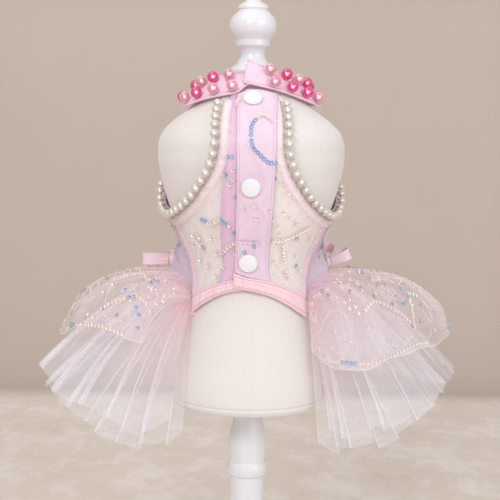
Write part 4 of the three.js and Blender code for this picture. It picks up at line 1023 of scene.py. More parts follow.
def satin_ribbon():
    # Double-faced satin ribbon: a bright band of shine across a smooth pink face.
    material, tree, shader = new_material("pink_double_faced_satin_ribbon")
    if not tree:
        return material
    base = tuple(colours().ribbon)
    place = add(tree, "ShaderNodeTexCoord").outputs["UV"]
    threads = add(tree, "ShaderNodeMapping", values={"Scale": (1.0, 0.05, 1.0)},
                  links={"Vector": place})
    grain = add(tree, "ShaderNodeTexNoise", values={"Scale": 900.0, "Detail": 2.0},
                links={"Vector": threads})
    bump = add(tree, "ShaderNodeBump", values={"Strength": 0.12, "Distance": 0.0001},
               links={"Height": grain})
    feed(tree, shader,
         {"Roughness": 0.34, "Specular IOR Level": 0.7, "Sheen Weight": 0.4,
          "Sheen Roughness": 0.25},
         {"Base Color": two_tones(tree, grain, darker(base, 0.9), base), "Normal": bump})
    return material


def pearl_lacquer(name, first, second, painted_shade):
    # Pearl lacquer over a plastic bead: a milky body whose colour carries painted light as seen
    # face-on, a painted white highlight in the middle, a painted dark ring of reflection round it,
    # a lighter band and a painted darker, warmer shade at the rim. The coat adds a sharp highlight
    # from the lamps.
    material, tree, shader = new_material(name)
    if not tree:
        return material
    tint = add(tree, "ShaderNodeAttribute", {"attribute_name": "tint"})
    body = add(tree, "ShaderNodeMix", {"data_type": "RGBA"}, {6: (*first, 1), 7: (*second, 1)},
               {0: tint.outputs["Fac"]})
    # Painted shade and reflection: by how far the surface faces the view, the body darkens in a
    # ring round the middle and at the rim.
    rim = add(tree, "ShaderNodeLayerWeight", values={"Blend": 0.5})
    depth = add(tree, "ShaderNodeValToRGB", links={"Fac": rim.outputs["Facing"]})
    painted_ring_levels = ((0.0, 0.0), (0.045, 0.1), (0.10, 0.78), (0.26, 0.9), (0.5, 0.16), (0.85, 0.95))
    while len(depth.color_ramp.elements) < len(painted_ring_levels):
        depth.color_ramp.elements.new(0.5)
    for element, (at, level) in zip(depth.color_ramp.elements, painted_ring_levels):
        element.position = at
        element.color = (level, level, level, 1)
    deep = add(tree, "ShaderNodeMix", {"data_type": "RGBA", "blend_type": "MULTIPLY"},
               {7: (*painted_shade, 1)}, {0: depth, 6: body.outputs[2]})
    # Painted highlight: white where the bead faces the view straight on.
    painted_highlight = add(tree, "ShaderNodeMapRange", {"interpolation_type": "SMOOTHSTEP"},
                {"From Min": 0.016, "From Max": 0.055, "To Min": 0.95, "To Max": 0.0},
                {"Value": rim.outputs["Facing"]})
    with_painted_highlight = add(tree, "ShaderNodeMix", {"data_type": "RGBA"}, {7: (1, 1, 1, 1)},
              {0: painted_highlight, 6: deep.outputs[2]})
    place = add(tree, "ShaderNodeTexCoord").outputs["Object"]
    swirl = add(tree, "ShaderNodeTexNoise", values={"Scale": 420.0, "Detail": 2.0},
                links={"Vector": place})
    rough = add(tree, "ShaderNodeMapRange", values={"To Min": 0.18, "To Max": 0.28},
                links={"Value": swirl})
    feed(tree, shader,
         {"Metallic": 0.22, "Coat Weight": 0.8, "Coat Roughness": 0.06, "Coat IOR": 1.8},
         {"Base Color": with_painted_highlight.outputs[2], "Roughness": rough})
    return material


def white_pearl():
    base = tuple(colours().pearl)
    # The last colour is the painted shade of the ring and the rim.
    return pearl_lacquer("ivory_pearl_lacquer", base, darker(base, 0.94), (0.62, 0.56, 0.50))


def pink_pearl():
    # The last colour is the painted shade of the ring and the rim.
    return pearl_lacquer("pink_pearl_lacquer", tuple(colours().pearl_light),
                         tuple(colours().pearl_hot), (0.74, 0.32, 0.44))


def cup_sequin():
    # Clear polyester sequins with an iridescent film: mostly cream and rose, some turn blue, and
    # all of them go violet where they are seen from the side.
    material, tree, shader = new_material("iridescent_film_sequin")
    if not tree:
        return material
    tint = add(tree, "ShaderNodeAttribute", {"attribute_name": "tint"})
    ramp = add(tree, "ShaderNodeValToRGB", links={"Fac": tint.outputs["Fac"]})
    stops = ((0.0, "#fff8e2"), (0.2, "#fff0d2"), (0.4, "#ffe2dc"), (0.52, "#f8dff2"),
             (0.64, "#66bde2"), (0.78, "#86aee6"), (0.9, "#bb9dce"), (1.0, "#9a7ca6"))
    band = ramp.color_ramp
    while len(band.elements) < len(stops):
        band.elements.new(0.5)
    for element, (place, shade) in zip(band.elements, stops):
        element.position = place
        element.color = (*linear(shade), 1)
    side = add(tree, "ShaderNodeLayerWeight", values={"Blend": 0.16})
    mix = add(tree, "ShaderNodeMix", {"data_type": "RGBA"}, {7: (*linear("#b79fc4"), 1)},
              {0: side.outputs["Facing"], 6: ramp})
    # Painted shade: the flat inner ring round the hole is darkened towards rose brown, as the cup's
    # hollow lies in shade.
    inner = add(tree, "ShaderNodeAttribute", {"attribute_name": "inner"})
    ring = add(tree, "ShaderNodeMix", {"data_type": "RGBA", "blend_type": "MULTIPLY"},
               {7: (0.76, 0.60, 0.58, 1)}, {0: inner.outputs["Fac"], 6: mix.outputs[2]})
    place = add(tree, "ShaderNodeTexCoord").outputs["Object"]
    facets = add(tree, "ShaderNodeTexNoise", values={"Scale": 900.0, "Detail": 1.0},
                 links={"Vector": place})
    bump = add(tree, "ShaderNodeBump", values={"Strength": 0.2, "Distance": 0.0002},
               links={"Height": facets})
    feed(tree, shader,
         {"Metallic": 0.35, "Roughness": 0.32, "Coat Weight": 0.6, "Coat Roughness": 0.1},
         {"Base Color": ring.outputs[2], "Normal": bump})
    return material


def thread(name, shade):
    """Spun polyester thread: matt, with a twist that shows as faint slanted light and dark."""
    material, tree, shader = new_material(name)
    if not tree:
        return material
    base = linear(shade)
    place = add(tree, "ShaderNodeTexCoord").outputs["Object"]
    twist = add(tree, "ShaderNodeTexNoise", values={"Scale": 1400.0, "Detail": 1.0},
                links={"Vector": place})
    feed(tree, shader, {"Roughness": 0.65, "Sheen Weight": 0.4},
         {"Base Color": two_tones(tree, twist, darker(base, 0.82), base)})
    return material


def moulded_cap():
    # White acetal, injection moulded: smooth and a little waxy, with a faint flow cloud.
    material, tree, shader = new_material("white_moulded_acetal")
    if not tree:
        return material
    place = add(tree, "ShaderNodeTexCoord").outputs["Object"]
    cloud = add(tree, "ShaderNodeTexNoise", values={"Scale": 220.0, "Detail": 2.0},
                links={"Vector": place})
    rough = add(tree, "ShaderNodeMapRange", values={"To Min": 0.24, "To Max": 0.34},
                links={"Value": cloud})
    feed(tree, shader, {"Subsurface Weight": 0.1, "Subsurface Radius": (0.001, 0.001, 0.001)},
         {"Base Color": two_tones(tree, cloud, linear("#eeeef0"), linear("#f8f8fa")),
          "Roughness": rough})
    return material


# ---------------------------------------------------------------- stand and form
def make_stand():
    for name, rows, sides in (("stand_base", BASE_ROWS, 128), ("stand_column", COLUMN_ROWS, 64),
                              ("neck_finial", FINIAL_ROWS, 72)):
        piece = lathe(f"{name}_turned", rows, sides, gloss_paint_on_beech())
        finish_piece(piece, [name])


def make_form():
    """The covered form, with the sewn seam of its cover just over the lower edge."""
    sides = 120
    heights = [FORM_FOOT, 145.6, 146.4, 147.6, 148.6, 149.2, 149.7, 150.2, 150.8, 151.6]
    heights += [153 + k * 1.9 for k in range(112)] + [FORM_TOP]
    points, uv = [Vector((0, 0, FORM_FOOT))], [(0, 0)]
    for z in heights:
        groove = 0.55 * hump(z, COVER_SEAM, 0.45) - 0.25 * hump(z, 148.2, 0.9)
        for i in range(sides):
            turn = 360 * i / sides
            points.append(on_form(turn, z) - form_normal(turn, z) * groove)
            uv.append((0.33 * i / sides, z * MM))
    points.append(Vector((0, 0, FORM_TOP)))
    uv.append((0, 0.3664))
    faces = ring_faces(sides, len(heights), flip=True)
    form = object_from("form_jersey_cover", points, faces, knitted_cover(), uv)
    finish_piece(form, ["form_torso"])


# ---------------------------------------------------------------- collar
def collar_point(share, up, side):
    """A point of the collar: share along the band, up across it, side 0 inside and 1 outside."""
    row = along(COLLAR_ROWS, ("low_turn", "low", "high_turn", "high", "lift"), share)
    low = on_cloth(row["low_turn"], row["low"], LAYER_2 + 0.2 + row["lift"])
    a = math.radians(row["high_turn"])
    wide = COLLAR_TOP_WIDE + row["lift"]
    deep = COLLAR_TOP_DEEP + row["lift"]
    high = Vector((-wide * math.sin(a), -deep * math.cos(a), row["high"]))
    rise = high - low
    outward = rise.cross(Vector((-math.cos(a), math.sin(a), 0))).normalized()
    belly = 1.1 * math.sin(math.pi * up)
    return low + rise * up + outward * (belly + side * BAND)


def collar_share_at(turn):
    share = 0.0
    while share < 1 and along(COLLAR_ROWS, ("low_turn",), share)["low_turn"] < turn:
        share += 0.002
    return share


def make_collar():
    waves = random.Random(5)
    bends = [(waves.uniform(0.02, 0.98), waves.uniform(0.008, 0.02), waves.uniform(-0.22, 0.3))
             for _ in range(26)]

    def place(u, v, out):
        soft = sum(high * hump(u, at, wide) for at, wide, high in bends) * (0.4 + 0.6 * v)
        return collar_point(u, v, (out + soft * min(1.0, out)) / BAND)

    band = cloth("collar_band", span(300, 0.001), span(14, 0.03), place, collar_cloth(),
                 wall=BAND, cut=(0.33, 0.018))
    finish_piece(band, ["collar"])
    make_collar_pearls()
    make_collar_stitches()


def make_collar_pearls():
    radius = sizes().collar_pearl / 2 / MM
    spots, tints = [], []
    for k in range(COLLAR_PAIRS):
        turn = COLLAR_FIRST_TURN + k * COLLAR_RUN / (COLLAR_PAIRS - 1)
        for row, (up, key) in enumerate(((0.2, "low"), (0.76, "high"))):
            share = collar_share_at(turn + (3 if row else -2))
            outer = collar_point(share, up, 1)
            outward = (outer - collar_point(share, up, 0)).normalized()
            spots.append([outer + outward * (radius - 0.6)])
            tints.append(COLLAR_TINTS[k][key])
    pearls = path_object("collar_pearls", spots, tints=tints)
    run_tree(pearls, ball_tree(), {"Radius": radius * MM, "Segments": 28, "Rings": 18},
             pink_pearl())
    return finish_piece(pearls)


def make_collar_stitches():
    lines = []
    for up in (0.09, 0.92):
        lines.append([collar_point(0.006 + 0.988 * k / 360, up, 1.03) for k in range(361)])
    lines.append([collar_point(0.993, 0.1 + 0.8 * k / 12, 1.03) for k in range(13)])
    return sew("collar_topstitch", lines, sizes().stitch, 0.00022,
               thread("rose_sewing_thread", "#e9b4cf"))


# ---------------------------------------------------------------- plackets and caps
def panel_height(foot, top, share):
    """A height on a placket, spaced as the rows of the mesh panels are."""
    first, last = PANEL_ROWS[-1]["inner"], PANEL_ROWS[0]["inner"]
    here = along(PANEL_ROWS, ("inner",), 1 - share)["inner"]
    return foot + (top - foot) * (here - first) / (last - first)


def placket_wrinkle(x, z):
    """Soft folds of the lapped satin: pulls between the snaps and a slack ripple low down."""
    pull = 0.42 * hump(x + (z - 322) * 0.42, 0, 3.0) * hump(z, 322, 17)
    pull += 0.40 * hump(x - (z - 272) * 0.38, 2, 2.8) * hump(z, 271, 15)
    pull += 0.46 * hump(x, -6.4, 2.2) * hump(z, 262, 20)
    pull += 0.34 * hump(x - (z - 306) * 0.2, 8, 2.4) * hump(z, 306, 13)
    pull += 0.36 * hump(x + (z - 282) * 0.55, 7, 2.2) * hump(z, 282, 9)
    pull += 0.30 * hump(x - (z - 337) * 0.5, 5, 2.2) * hump(z, 337, 8)
    pull -= 0.25 * hump(x + (z - 255) * 0.3, 6, 1.8) * hump(z, 256, 10)
    pull *= 2.1
    for snap in SNAPS:
        distance = math.hypot(x - snap["x"], z - snap["z"])
        pull -= 0.30 * hump(distance, 7.0, 1.6)
        pull += 0.22 * hump(distance, 10.0, 2.2)
    return pull


def under_place(u, v, out):
    z = panel_height(*UNDER_ENDS, v)
    left = read(PLACKET_ROWS, "z", "under_left", z)
    x = left + (UNDER_RIGHT - left) * u
    slack = 0.75 * hump(u, 0.12, 0.06) * (0.35 + 0.65 * math.sin(z * 0.075) ** 2)
    slack += 0.45 * hump(u, 0.26, 0.04) * (0.3 + 0.7 * math.sin(z * 0.05 + 2) ** 2)
    lift = slack * min(1.0, out) * smoothstep(0, 0.1, u)
    return on_cloth(turn_at(x, z), z, LAYER_1 + out + lift)


def over_place(u, v, out):
    middle = panel_height(*OVER_ENDS, v)
    left = read(PLACKET_ROWS, "z", "over_left", middle)
    right = read(PLACKET_ROWS, "z", "over_right", middle)
    x = left + (right - left) * u
    top = read(PLACKET_TOP, "x", "z", x)
    foot = read(HEM_RIGHT_ROWS, "turn", "top", turn_at(x, OVER_ENDS[0])) + 0.1
    z = panel_height(foot, top, v)
    lift = placket_wrinkle(x, z) * min(1.0, out)
    return on_cloth(turn_at(x, z), z, LAYER_2 + out + lift)


def make_plackets():
    under = cloth("placket_under_satin", span(22, 0.012), span(110, 0.003), under_place,
                  shaded_satin(), wall=CLOTH, cut=(0.028, 0.128))
    finish_piece(under, ["placket_under"])
    over = cloth("placket_over_satin", span(30, 0.012), span(130, 0.003), over_place,
                 lilac_satin(), wall=CLOTH, cut=(0.025, 0.118))
    finish_piece(over, ["placket_over"])
    steps = 160
    lines = [[over_place(edge, k / steps, 1.06) for k in range(3, steps - 2)]
             for edge in (0.07, 0.93)]
    lines.append([under_place(0.06, k / steps, 1.06) for k in range(3, steps - 2)])
    stitches = sew("placket_topstitch", lines, sizes().stitch, 0.0002,
                   thread("lilac_sewing_thread", "#ecc9e3"))


def make_caps():
    """Snap caps: a low dome with a moulded ring round its rim."""
    radius = sizes().cap / 2 / MM
    rows = ((0.0, radius - 0.3), (0.15, radius), (0.55, radius), (0.95, radius - 0.12),
            (1.2, radius - 0.5), (1.26, radius - 0.85), (1.2, radius - 1.05),
            (1.34, radius - 1.5), (1.6, radius - 2.6), (1.82, radius - 4.4))
    sides = 48
    for k, snap in enumerate(SNAPS, 1):
        turn = turn_at(snap["x"], snap["z"])
        normal = form_normal(turn, snap["z"])
        seat = on_cloth(turn, snap["z"], LAYER_3)
        spin = Vector((0, 0, 1)).rotation_difference(normal)
        points = [seat + spin @ Vector((0, 0, 0))]
        for z, r in rows:
            for i in range(sides):
                a = 2 * math.pi * i / sides
                points.append(seat + spin @ Vector((r * math.cos(a), r * math.sin(a), z)))
        points.append(seat + spin @ Vector((0, 0, 1.9)))
        faces = ring_faces(sides, len(rows))
        cap = object_from(f"snap_cap_{k}_moulded", points, faces, moulded_cap())
        finish_piece(cap, [f"snap_cap_{k}"])


# ---------------------------------------------------------------- bodice
def side_seam_turn(z):
    share = (z - SIDE_SEAM_FOOT["z"]) / (SIDE_SEAM_TOP["z"] - SIDE_SEAM_FOOT["z"])
    return SIDE_SEAM_FOOT["turn"] + (SIDE_SEAM_TOP["turn"] - SIDE_SEAM_FOOT["turn"]) * share


def net_creases(seed, count, turns, heights):
    """Soft troughs and ridges of the stretched mesh, uneven in place, length and depth."""
    pick = random.Random(seed)
    return [{
        "turn": pick.uniform(*turns), "z": pick.uniform(*heights), "slope": pick.uniform(-0.9, 0.9),
        "long": pick.uniform(7, 20), "wide": pick.uniform(1.1, 2.6),
        "high": pick.choice((-0.22, 0.3, 0.38, 0.26)),
    } for _ in range(count)]


def crease_height(creases, turn, z):
    total = 0.0
    for c in creases:
        dz = z - c["z"]
        if abs(dz) < 2.5 * c["long"]:
            across = (turn - c["turn"]) * 0.8 - c["slope"] * dz
            total += c["high"] * hump(across, 0, c["wide"]) * hump(dz, 0, c["long"])
    return total


def make_fronts():
    for name, mirror, edge in (
            ("left", 1, lambda z: read(PLACKET_ROWS, "z", "under_left", z) - 0.05),
            ("right", -1, lambda z: UNDER_RIGHT + 0.3)):
        creases = net_creases(31 + mirror, 22, (12, 66), (226, 300))

        def place(u, v, out, mirror=mirror, edge=edge, creases=creases):
            row = along(PANEL_ROWS, ("inner", "outer", "turn"), v)
            inner = turn_at(edge(row["inner"]), row["inner"])
            tape = side_seam_turn(row["outer"]) - TAPE_HALF_TURN - 0.1
            turn = inner + (mirror * min(row["turn"], tape) - inner) * u
            z = row["inner"] + (row["outer"] - row["inner"]) * u
            soft = crease_height(creases, mirror * turn, z) * math.sin(math.pi * u) ** 0.5
            return on_cloth(turn, z, LAYER_1 + 0.5 + out + soft)

        # Painted highlight and denser net on the ridges of the creases, for the net's material.
        def crest_highlight_and_density(u, v, mirror=mirror, edge=edge, creases=creases):
            row = along(PANEL_ROWS, ("inner", "outer", "turn"), v)
            turn = abs(turn_at(edge(row["inner"]), row["inner"]))
            turn += (row["turn"] - turn) * u
            z = row["inner"] + (row["outer"] - row["inner"]) * u
            return min(1.0, max(0.0, crease_height(creases, turn, z) * 1.6))

        panel = cloth(f"bodice_front_{name}_net", span(44), span(120), place, bodice_net(),
                      cut=(0.05, 0.13), marks={"crest_highlight_and_density": crest_highlight_and_density})
        panel.visible_shadow = False
        finish_piece(panel, [f"bodice_front_{name}"])


def make_side_seams():
    for name, mirror in (("left", 1), ("right", -1)):
        def place(u, v, out, mirror=mirror):
            z = SIDE_SEAM_FOOT["z"] + (TAPE_TOP - SIDE_SEAM_FOOT["z"]) * v
            turn = side_seam_turn(z) + (2 * u - 1) * TAPE_HALF_TURN
            pucker = 0.14 * math.sin(z * 1.15 + 2.2 * u) * math.sin(z * 0.31 + mirror)
            edge = smoothstep(0, 0.3, min(u, 1 - u))
            base = LAYER_1 * (0.3 + 0.7 * edge)
            lift = out * (0.35 + 0.65 * edge) + pucker * min(1.0, out) * edge
            return on_cloth(mirror * turn, z, base + lift)

        tape = cloth(f"side_seam_{name}_tape", span(10, 0.03), span(110, 0.004), place,
                     seam_tape(), wall=CLOTH, cut=(0.008, 0.069))
        finish_piece(tape, [f"side_seam_{name}"])
        lines = [[place(edge, k / 90, 1.12) for k in range(2, 89)] for edge in (0.16, 0.84)]
        stitches = sew(f"side_seam_{name}_stitch", lines, 0.0028, 0.0002,
                       thread("salmon_sewing_thread", "#ea9dae"))


def back_edge(z):
    return side_seam_turn(z) + TAPE_HALF_TURN + SEAM_TURN


def back_corner():
    """The height where the back's side edge meets the skirt's seam."""
    z = SIDE_SEAM_FOOT["z"]
    for _ in range(20):
        z = read(SEAM_ROWS, "turn", "z", back_edge(z)) - BACK_UNDER_SEAM
    return z


BACK_CORNER = back_corner()


def back_spot(u, v, over=0.0):
    """Turn and height on the back, u from side to side and v from the seam to the top."""
    half = u * 2 if u <= 0.5 else (1 - u) * 2
    foot_edge = back_edge(BACK_CORNER)
    top_edge = back_edge(BACK_TOP_ROWS[0]["z"])
    foot_turn = foot_edge + (180 - foot_edge) * half
    top_turn = top_edge + (180 - top_edge) * half
    foot = read(SEAM_ROWS, "turn", "z", foot_turn) - BACK_UNDER_SEAM + over
    top = read(BACK_TOP_ROWS, "turn", "z", top_turn)
    turn = foot_turn + (top_turn - foot_turn) * v
    return (turn if u <= 0.5 else 360 - turn), foot + (top - foot) * v


def back_fold(turn, z):
    """Soft folds that run up from the skirt's seam, uneven in length, depth and spacing."""
    total = 0.0
    for fold in BACK_FOLDS:
        across = turn - fold["turn"] - fold["slope"] * (z - BACK_FOLDS_FROM)
        fade = 1 - smoothstep(BACK_FOLDS_FROM + 8, fold["high"], z)
        total += fold["height"] * hump(across, 0, fold["wide"]) * fade
    return total


def back_place(u, v, out):
    turn, z = back_spot(u, v)
    edge = min(u, 1 - u) * 2
    lift = back_fold(turn % 360, z) * smoothstep(0, 0.08, edge) * BACK_FOLD_SHARE
    pressed = 0.3 + 0.7 * smoothstep(0, 0.03, edge)
    return on_cloth(turn, z, (LAYER_1 + out) * pressed + lift)


def make_back():
    back = cloth("bodice_back_satin", span(220, 0.001), span(70, 0.004), back_place,
                 back_satin(), wall=CLOTH, cut=(0.21, 0.11))
    finish_piece(back, ["bodice_back"])

    def net_place(u, v, out):
        turn, z = back_spot(u, v, 1.5)
        edge = min(u, 1 - u) * 2
        lift = back_fold(turn % 360, z) * smoothstep(0, 0.08, edge) * BACK_FOLD_SHARE
        pressed = 0.3 + 0.7 * smoothstep(0, 0.03, edge)
        return on_cloth(turn, z, (LAYER_1 + CLOTH) * pressed + NET_GAP + out + lift)

    # Painted highlight and denser net on the ridges of the back's folds.
    def crest_highlight_and_density(u, v):
        turn, z = back_spot(u, v)
        return min(1.0, back_fold(turn % 360, z) * 0.5)

    net = cloth("bodice_back_net", span(200), span(60), net_place, bodice_net(),
                cut=(0.21, 0.11), marks={"crest_highlight_and_density": crest_highlight_and_density})
    net.visible_shadow = False
    finish_piece(net)


# ---------------------------------------------------------------- armholes
def armhole_frame(share, mirror):
    """A place on the armhole's edge, and the direction in the cloth away from the opening."""
    here = along(ARMHOLE_ROWS, ("turn", "z"), share)
    before = along(ARMHOLE_ROWS, ("turn", "z"), max(0.0, share - 0.004))
    after = along(ARMHOLE_ROWS, ("turn", "z"), min(1.0, share + 0.004))
    turn = mirror * here["turn"]
    run = on_cloth(mirror * after["turn"], after["z"], 0)
    run = (run - on_cloth(mirror * before["turn"], before["z"], 0)).normalized()
    inward = (form_normal(turn, here["z"]).cross(run) * mirror).normalized()
    return turn, here["z"], inward


def binding_width(turn, z, mirror):
    """The binding narrows where the placket leaves it less room beside the pearls."""
    column = "over_left" if mirror > 0 else "over_right"
    placket = turn_at(read(PLACKET_ROWS, "z", column, z), z)
    per_degree = (on_cloth(turn + 1, z, 0) - on_cloth(turn, z, 0)).length
    return min(BINDING_WIDE, abs(turn - placket) * per_degree - BINDING_FROM_EDGE - 0.3)


def make_armholes():
    """A folded net binding on each armhole, with its strand of pearls along the edge."""
    radius = sizes().trim_pearl / 2 / MM

    def gathers(u, v):
        return math.sin(v * 300 + 3 * u + 5 * math.sin(v * 47))

    for name, mirror in (("left", 1), ("right", -1)):
        def place(u, v, out, mirror=mirror):
            turn, z, inward = armhole_frame(v, mirror)
            across = BINDING_FROM_EDGE + binding_width(turn, z, mirror) * u
            turn, z = slide(turn, z, inward, across)
            gather = gathers(u, v) * math.sin(math.pi * u)
            crown = 0.35 * math.sin(math.pi * u)
            lift = (0.08 * gather + crown) * min(1.0, out)
            return on_cloth(turn, z, LAYER_2 + out + lift)

        # Painted highlight and denser net on the ridges of the gathers.
        def crest_highlight_and_density(u, v):
            return max(0.0, gathers(u, v)) * 0.3

        binding = cloth(f"armhole_binding_{name}_net", span(9, 0.04), span(420), place,
                        folded_net(), wall=0.8, cut=(0.006, 0.33), marks={"crest_highlight_and_density": crest_highlight_and_density})
        binding.visible_shadow = False
        finish_piece(binding, [f"armhole_binding_{name}"])
        lines = [[place(edge, k / 300, 0.86) for k in range(2, 299)] for edge in (0.2, 0.86)]
        stitches = sew(f"armhole_binding_{name}_stitch", lines, 0.0024, 0.00018,
                       thread("pale_pink_sewing_thread", "#eccfd3"))

        centre = []
        for k in range(401):
            turn, z, _ = armhole_frame(k / 400, mirror)
            centre.append(on_cloth(turn, z, LAYER_2 + radius))
        spots = resample(centre, sizes().trim_pitch / MM)
        pick = random.Random(17)
        pearls = path_object(f"pearl_trim_{name}_pearls", [[p for _, p in spots]],
                             tints=[pick.random() * 0.6 for _ in spots])
        run_tree(pearls, ball_tree(), {"Radius": radius * MM, "Thread": 0.0004, "Segments": 20,
                                       "Rings": 14}, white_pearl())
        finish_piece(pearls, [f"pearl_trim_{name}"])

        # A beige thread zigzags beside the strand and holds a seed bead between two pearls.
        zigzag, seeds = [], []
        for k in range(4 * len(spots) + 1):
            share = k / (4 * len(spots))
            turn, z, inward = armhole_frame(share, mirror)
            side = 2.5 if k % 2 else 3.7
            spot = slide(turn, z, inward, side)
            lift = 0.5 + 0.3 * (k % 3)
            zigzag.append(on_cloth(*spot, LAYER_2 + lift))
            if k % 4 == 0:
                seeds.append([on_cloth(*slide(turn, z, inward, 2.7), LAYER_2 + 0.9)])
                seeds.append([on_cloth(*slide(turn, z, inward, -2.3), LAYER_2 - 0.9)])
        lace = path_object(f"pearl_trim_{name}_lacing", [zigzag])
        run_tree(lace, thread_tree(), {"Radius": 0.00028},
                 thread("beige_beading_thread", "#cfbfa9"))
        finish_piece(lace)
        beads = path_object(f"pearl_trim_{name}_seed_beads", seeds)
        run_tree(beads, ball_tree(), {"Radius": 0.0007, "Segments": 10, "Rings": 7},
                 thread("champagne_seed_bead", "#e2d3b4"))
        finish_piece(beads)


# ---------------------------------------------------------------- hem binding
def hem_place(rows, seed):
    ripple = random.Random(seed)
    bends = [(ripple.uniform(0.04, 0.96), ripple.uniform(0.012, 0.03), ripple.uniform(-0.3, 0.45))
             for _ in range(16)]

    def place(u, v, out):
        first, last = rows[0]["turn"], rows[-1]["turn"]
        turn = first + (last - first) * u
        top = read(rows, "turn", "top", turn)
        foot = read(rows, "turn", "foot", turn)
        lift = read(rows, "turn", "lift", turn)
        roll = 0.45 * math.sin(math.pi * v) ** 0.6 - 0.35 * hump(v, 0.5, 0.06)
        soft = sum(h * hump(u + 0.03 * v, at, w) for at, w, h in bends)
        return on_cloth(turn, foot + (top - foot) * v, LAYER_2 + lift + out
                        + (roll + soft) * min(1.0, out) - 0.4 * smoothstep(0.3, 0, v))
    return place


def make_hem():
    for name, rows, seed, length in (("left", HEM_LEFT_ROWS, 3, 0.043),
                                     ("right", HEM_RIGHT_ROWS, 8, 0.061)):
        place = hem_place(rows, seed)
        strip = cloth(f"hem_binding_{name}_tape", span(110, 0.006), span(14, 0.03), place,
                      salmon_tape(), wall=CLOTH, cut=(length, 0.010))
        finish_piece(strip, [f"hem_binding_{name}"])
        lines = [[place(0.03 + 0.95 * k / 90, edge, 1.08) for k in range(91)]
                 for edge in (0.17, 0.86)]
        stitches = sew(f"hem_binding_{name}_stitch", lines, 0.0024, 0.00022,
                       thread("salmon_sewing_thread", "#ea9dae"))


# ---------------------------------------------------------------- skirt
class Fall:
    """One skirt layer's smooth surface, by share along the hem and share down the fall."""

    looks = 480     # places where the rows are read
    count = 720     # even steps along the hem

    def __init__(self, rows, over_seam):
        self.rows = rows
        self.over_seam = over_seam
        first, last = rows[0]["turn"], rows[-1]["turn"]
        turns = [first + (last - first) * k / self.looks for k in range(self.looks + 1)]
        middle = [self.bezier(self.frame_at(turn), 0.7) for turn in turns]
        lengths = [0.0]
        for a, b in zip(middle, middle[1:]):
            lengths.append(lengths[-1] + (b - a).length)
        self.frames = []
        k = 0
        for n in range(self.count + 1):
            want = lengths[-1] * n / self.count
            while k < self.looks - 1 and lengths[k + 1] < want:
                k += 1
            t = (want - lengths[k]) / (lengths[k + 1] - lengths[k])
            self.frames.append(self.frame_at(turns[k] + (turns[k + 1] - turns[k]) * min(1, t)))
        hems = [frame[2] for frame in self.frames]
        self.hem_length = sum((b - a).length for a, b in zip(hems, hems[1:]))

    def frame_at(self, turn):
        steep = 1 - smoothstep(80, 95, min(turn, 360 - turn))
        seam_z = read(SEAM_ROWS, "turn", "z", turn) + self.over_seam * (1 + 0.4 * steep)
        root = on_cloth_at(turn, seam_z, LAYER_1 + CLOTH + 1.0)
        a = math.radians(read(self.rows, "turn", "hem_turn", turn))
        reach = read(self.rows, "turn", "reach", turn)
        hem = Vector((-reach * math.sin(a), -reach * math.cos(a),
                      read(self.rows, "turn", "hem_z", turn)))
        bend = root.lerp(hem, read(self.rows, "turn", "share", turn))
        bend.z = root.z + read(self.rows, "turn", "rise", turn)
        return root, bend, hem

    @staticmethod
    def bezier(frame3, down):
        up = 1 - down
        root, bend, hem = frame3
        return root * (up * up) + bend * (2 * up * down) + hem * (down * down)

    def point(self, share, down):
        place = min(self.count - 0.001, max(0.0, share * self.count))
        k = int(place)
        t = place - k
        a = self.bezier(self.frames[k], down)
        return a.lerp(self.bezier(self.frames[k + 1], down), t)

    def normal(self, share, down):
        around = self.point(share + 0.002, down) - self.point(share - 0.002, down)
        out = self.point(share, min(1.0, down + 0.02)) - self.point(share, max(0.0, down - 0.02))
        normal = around.cross(out).normalized()
        return normal if normal.z > 0 else -normal


def knife_pleats(count, seed, overlap):
    """Columns of a knife-pleated strip: each pleat's broad face, then the cloth that turns back
    under it. The pleats are uneven in width and in how far they lap."""
    pick = random.Random(seed)
    widths = [pick.uniform(0.55, 1.5) for _ in range(count)]
    total = sum(widths)
    edges = [sum(widths[:k]) / total for k in range(count)] + [1.0]
    hems = [pick.uniform(-1, 1) for _ in range(count + 1)]
    depths = [pick.uniform(0.6, 1.25) for _ in range(count + 1)]
    tones = [max(0.0, pick.uniform(-0.16, 0.2)) for _ in range(count + 1)]
    # Each column's second number lifts the net's density and its painted highlight, most at the
    # pleat's fold edges.
    face = ((0.0, 0.45), (0.05, 0.1), (0.3, 0.0), (0.55, 0.0), (0.8, 0.0), (0.93, 0.12),
            (0.975, 0.6), (1.0, 1.0))
    columns = []
    for k in range(count):
        near, width = edges[k], edges[k + 1] - edges[k]
        lap = width * overlap * pick.uniform(0.5, 1.4) if k < count - 1 else 0.0
        for t, crest_highlight_and_density in face:
            columns.append({"share": near + (width + lap) * t, "height": t * depths[k],
                            "crest_highlight_and_density": max(crest_highlight_and_density, tones[k]), "hem": hems[k]})
        if lap:
            for t in (0.12, 0.5, 0.9):
                columns.append({
                    "share": near + width + lap * (1 - t), "height": (1 - t) * depths[k],
                    "crest_highlight_and_density": 0.5 * (1 - t), "hem": hems[k] + (hems[k + 1] - hems[k]) * t})
    return columns


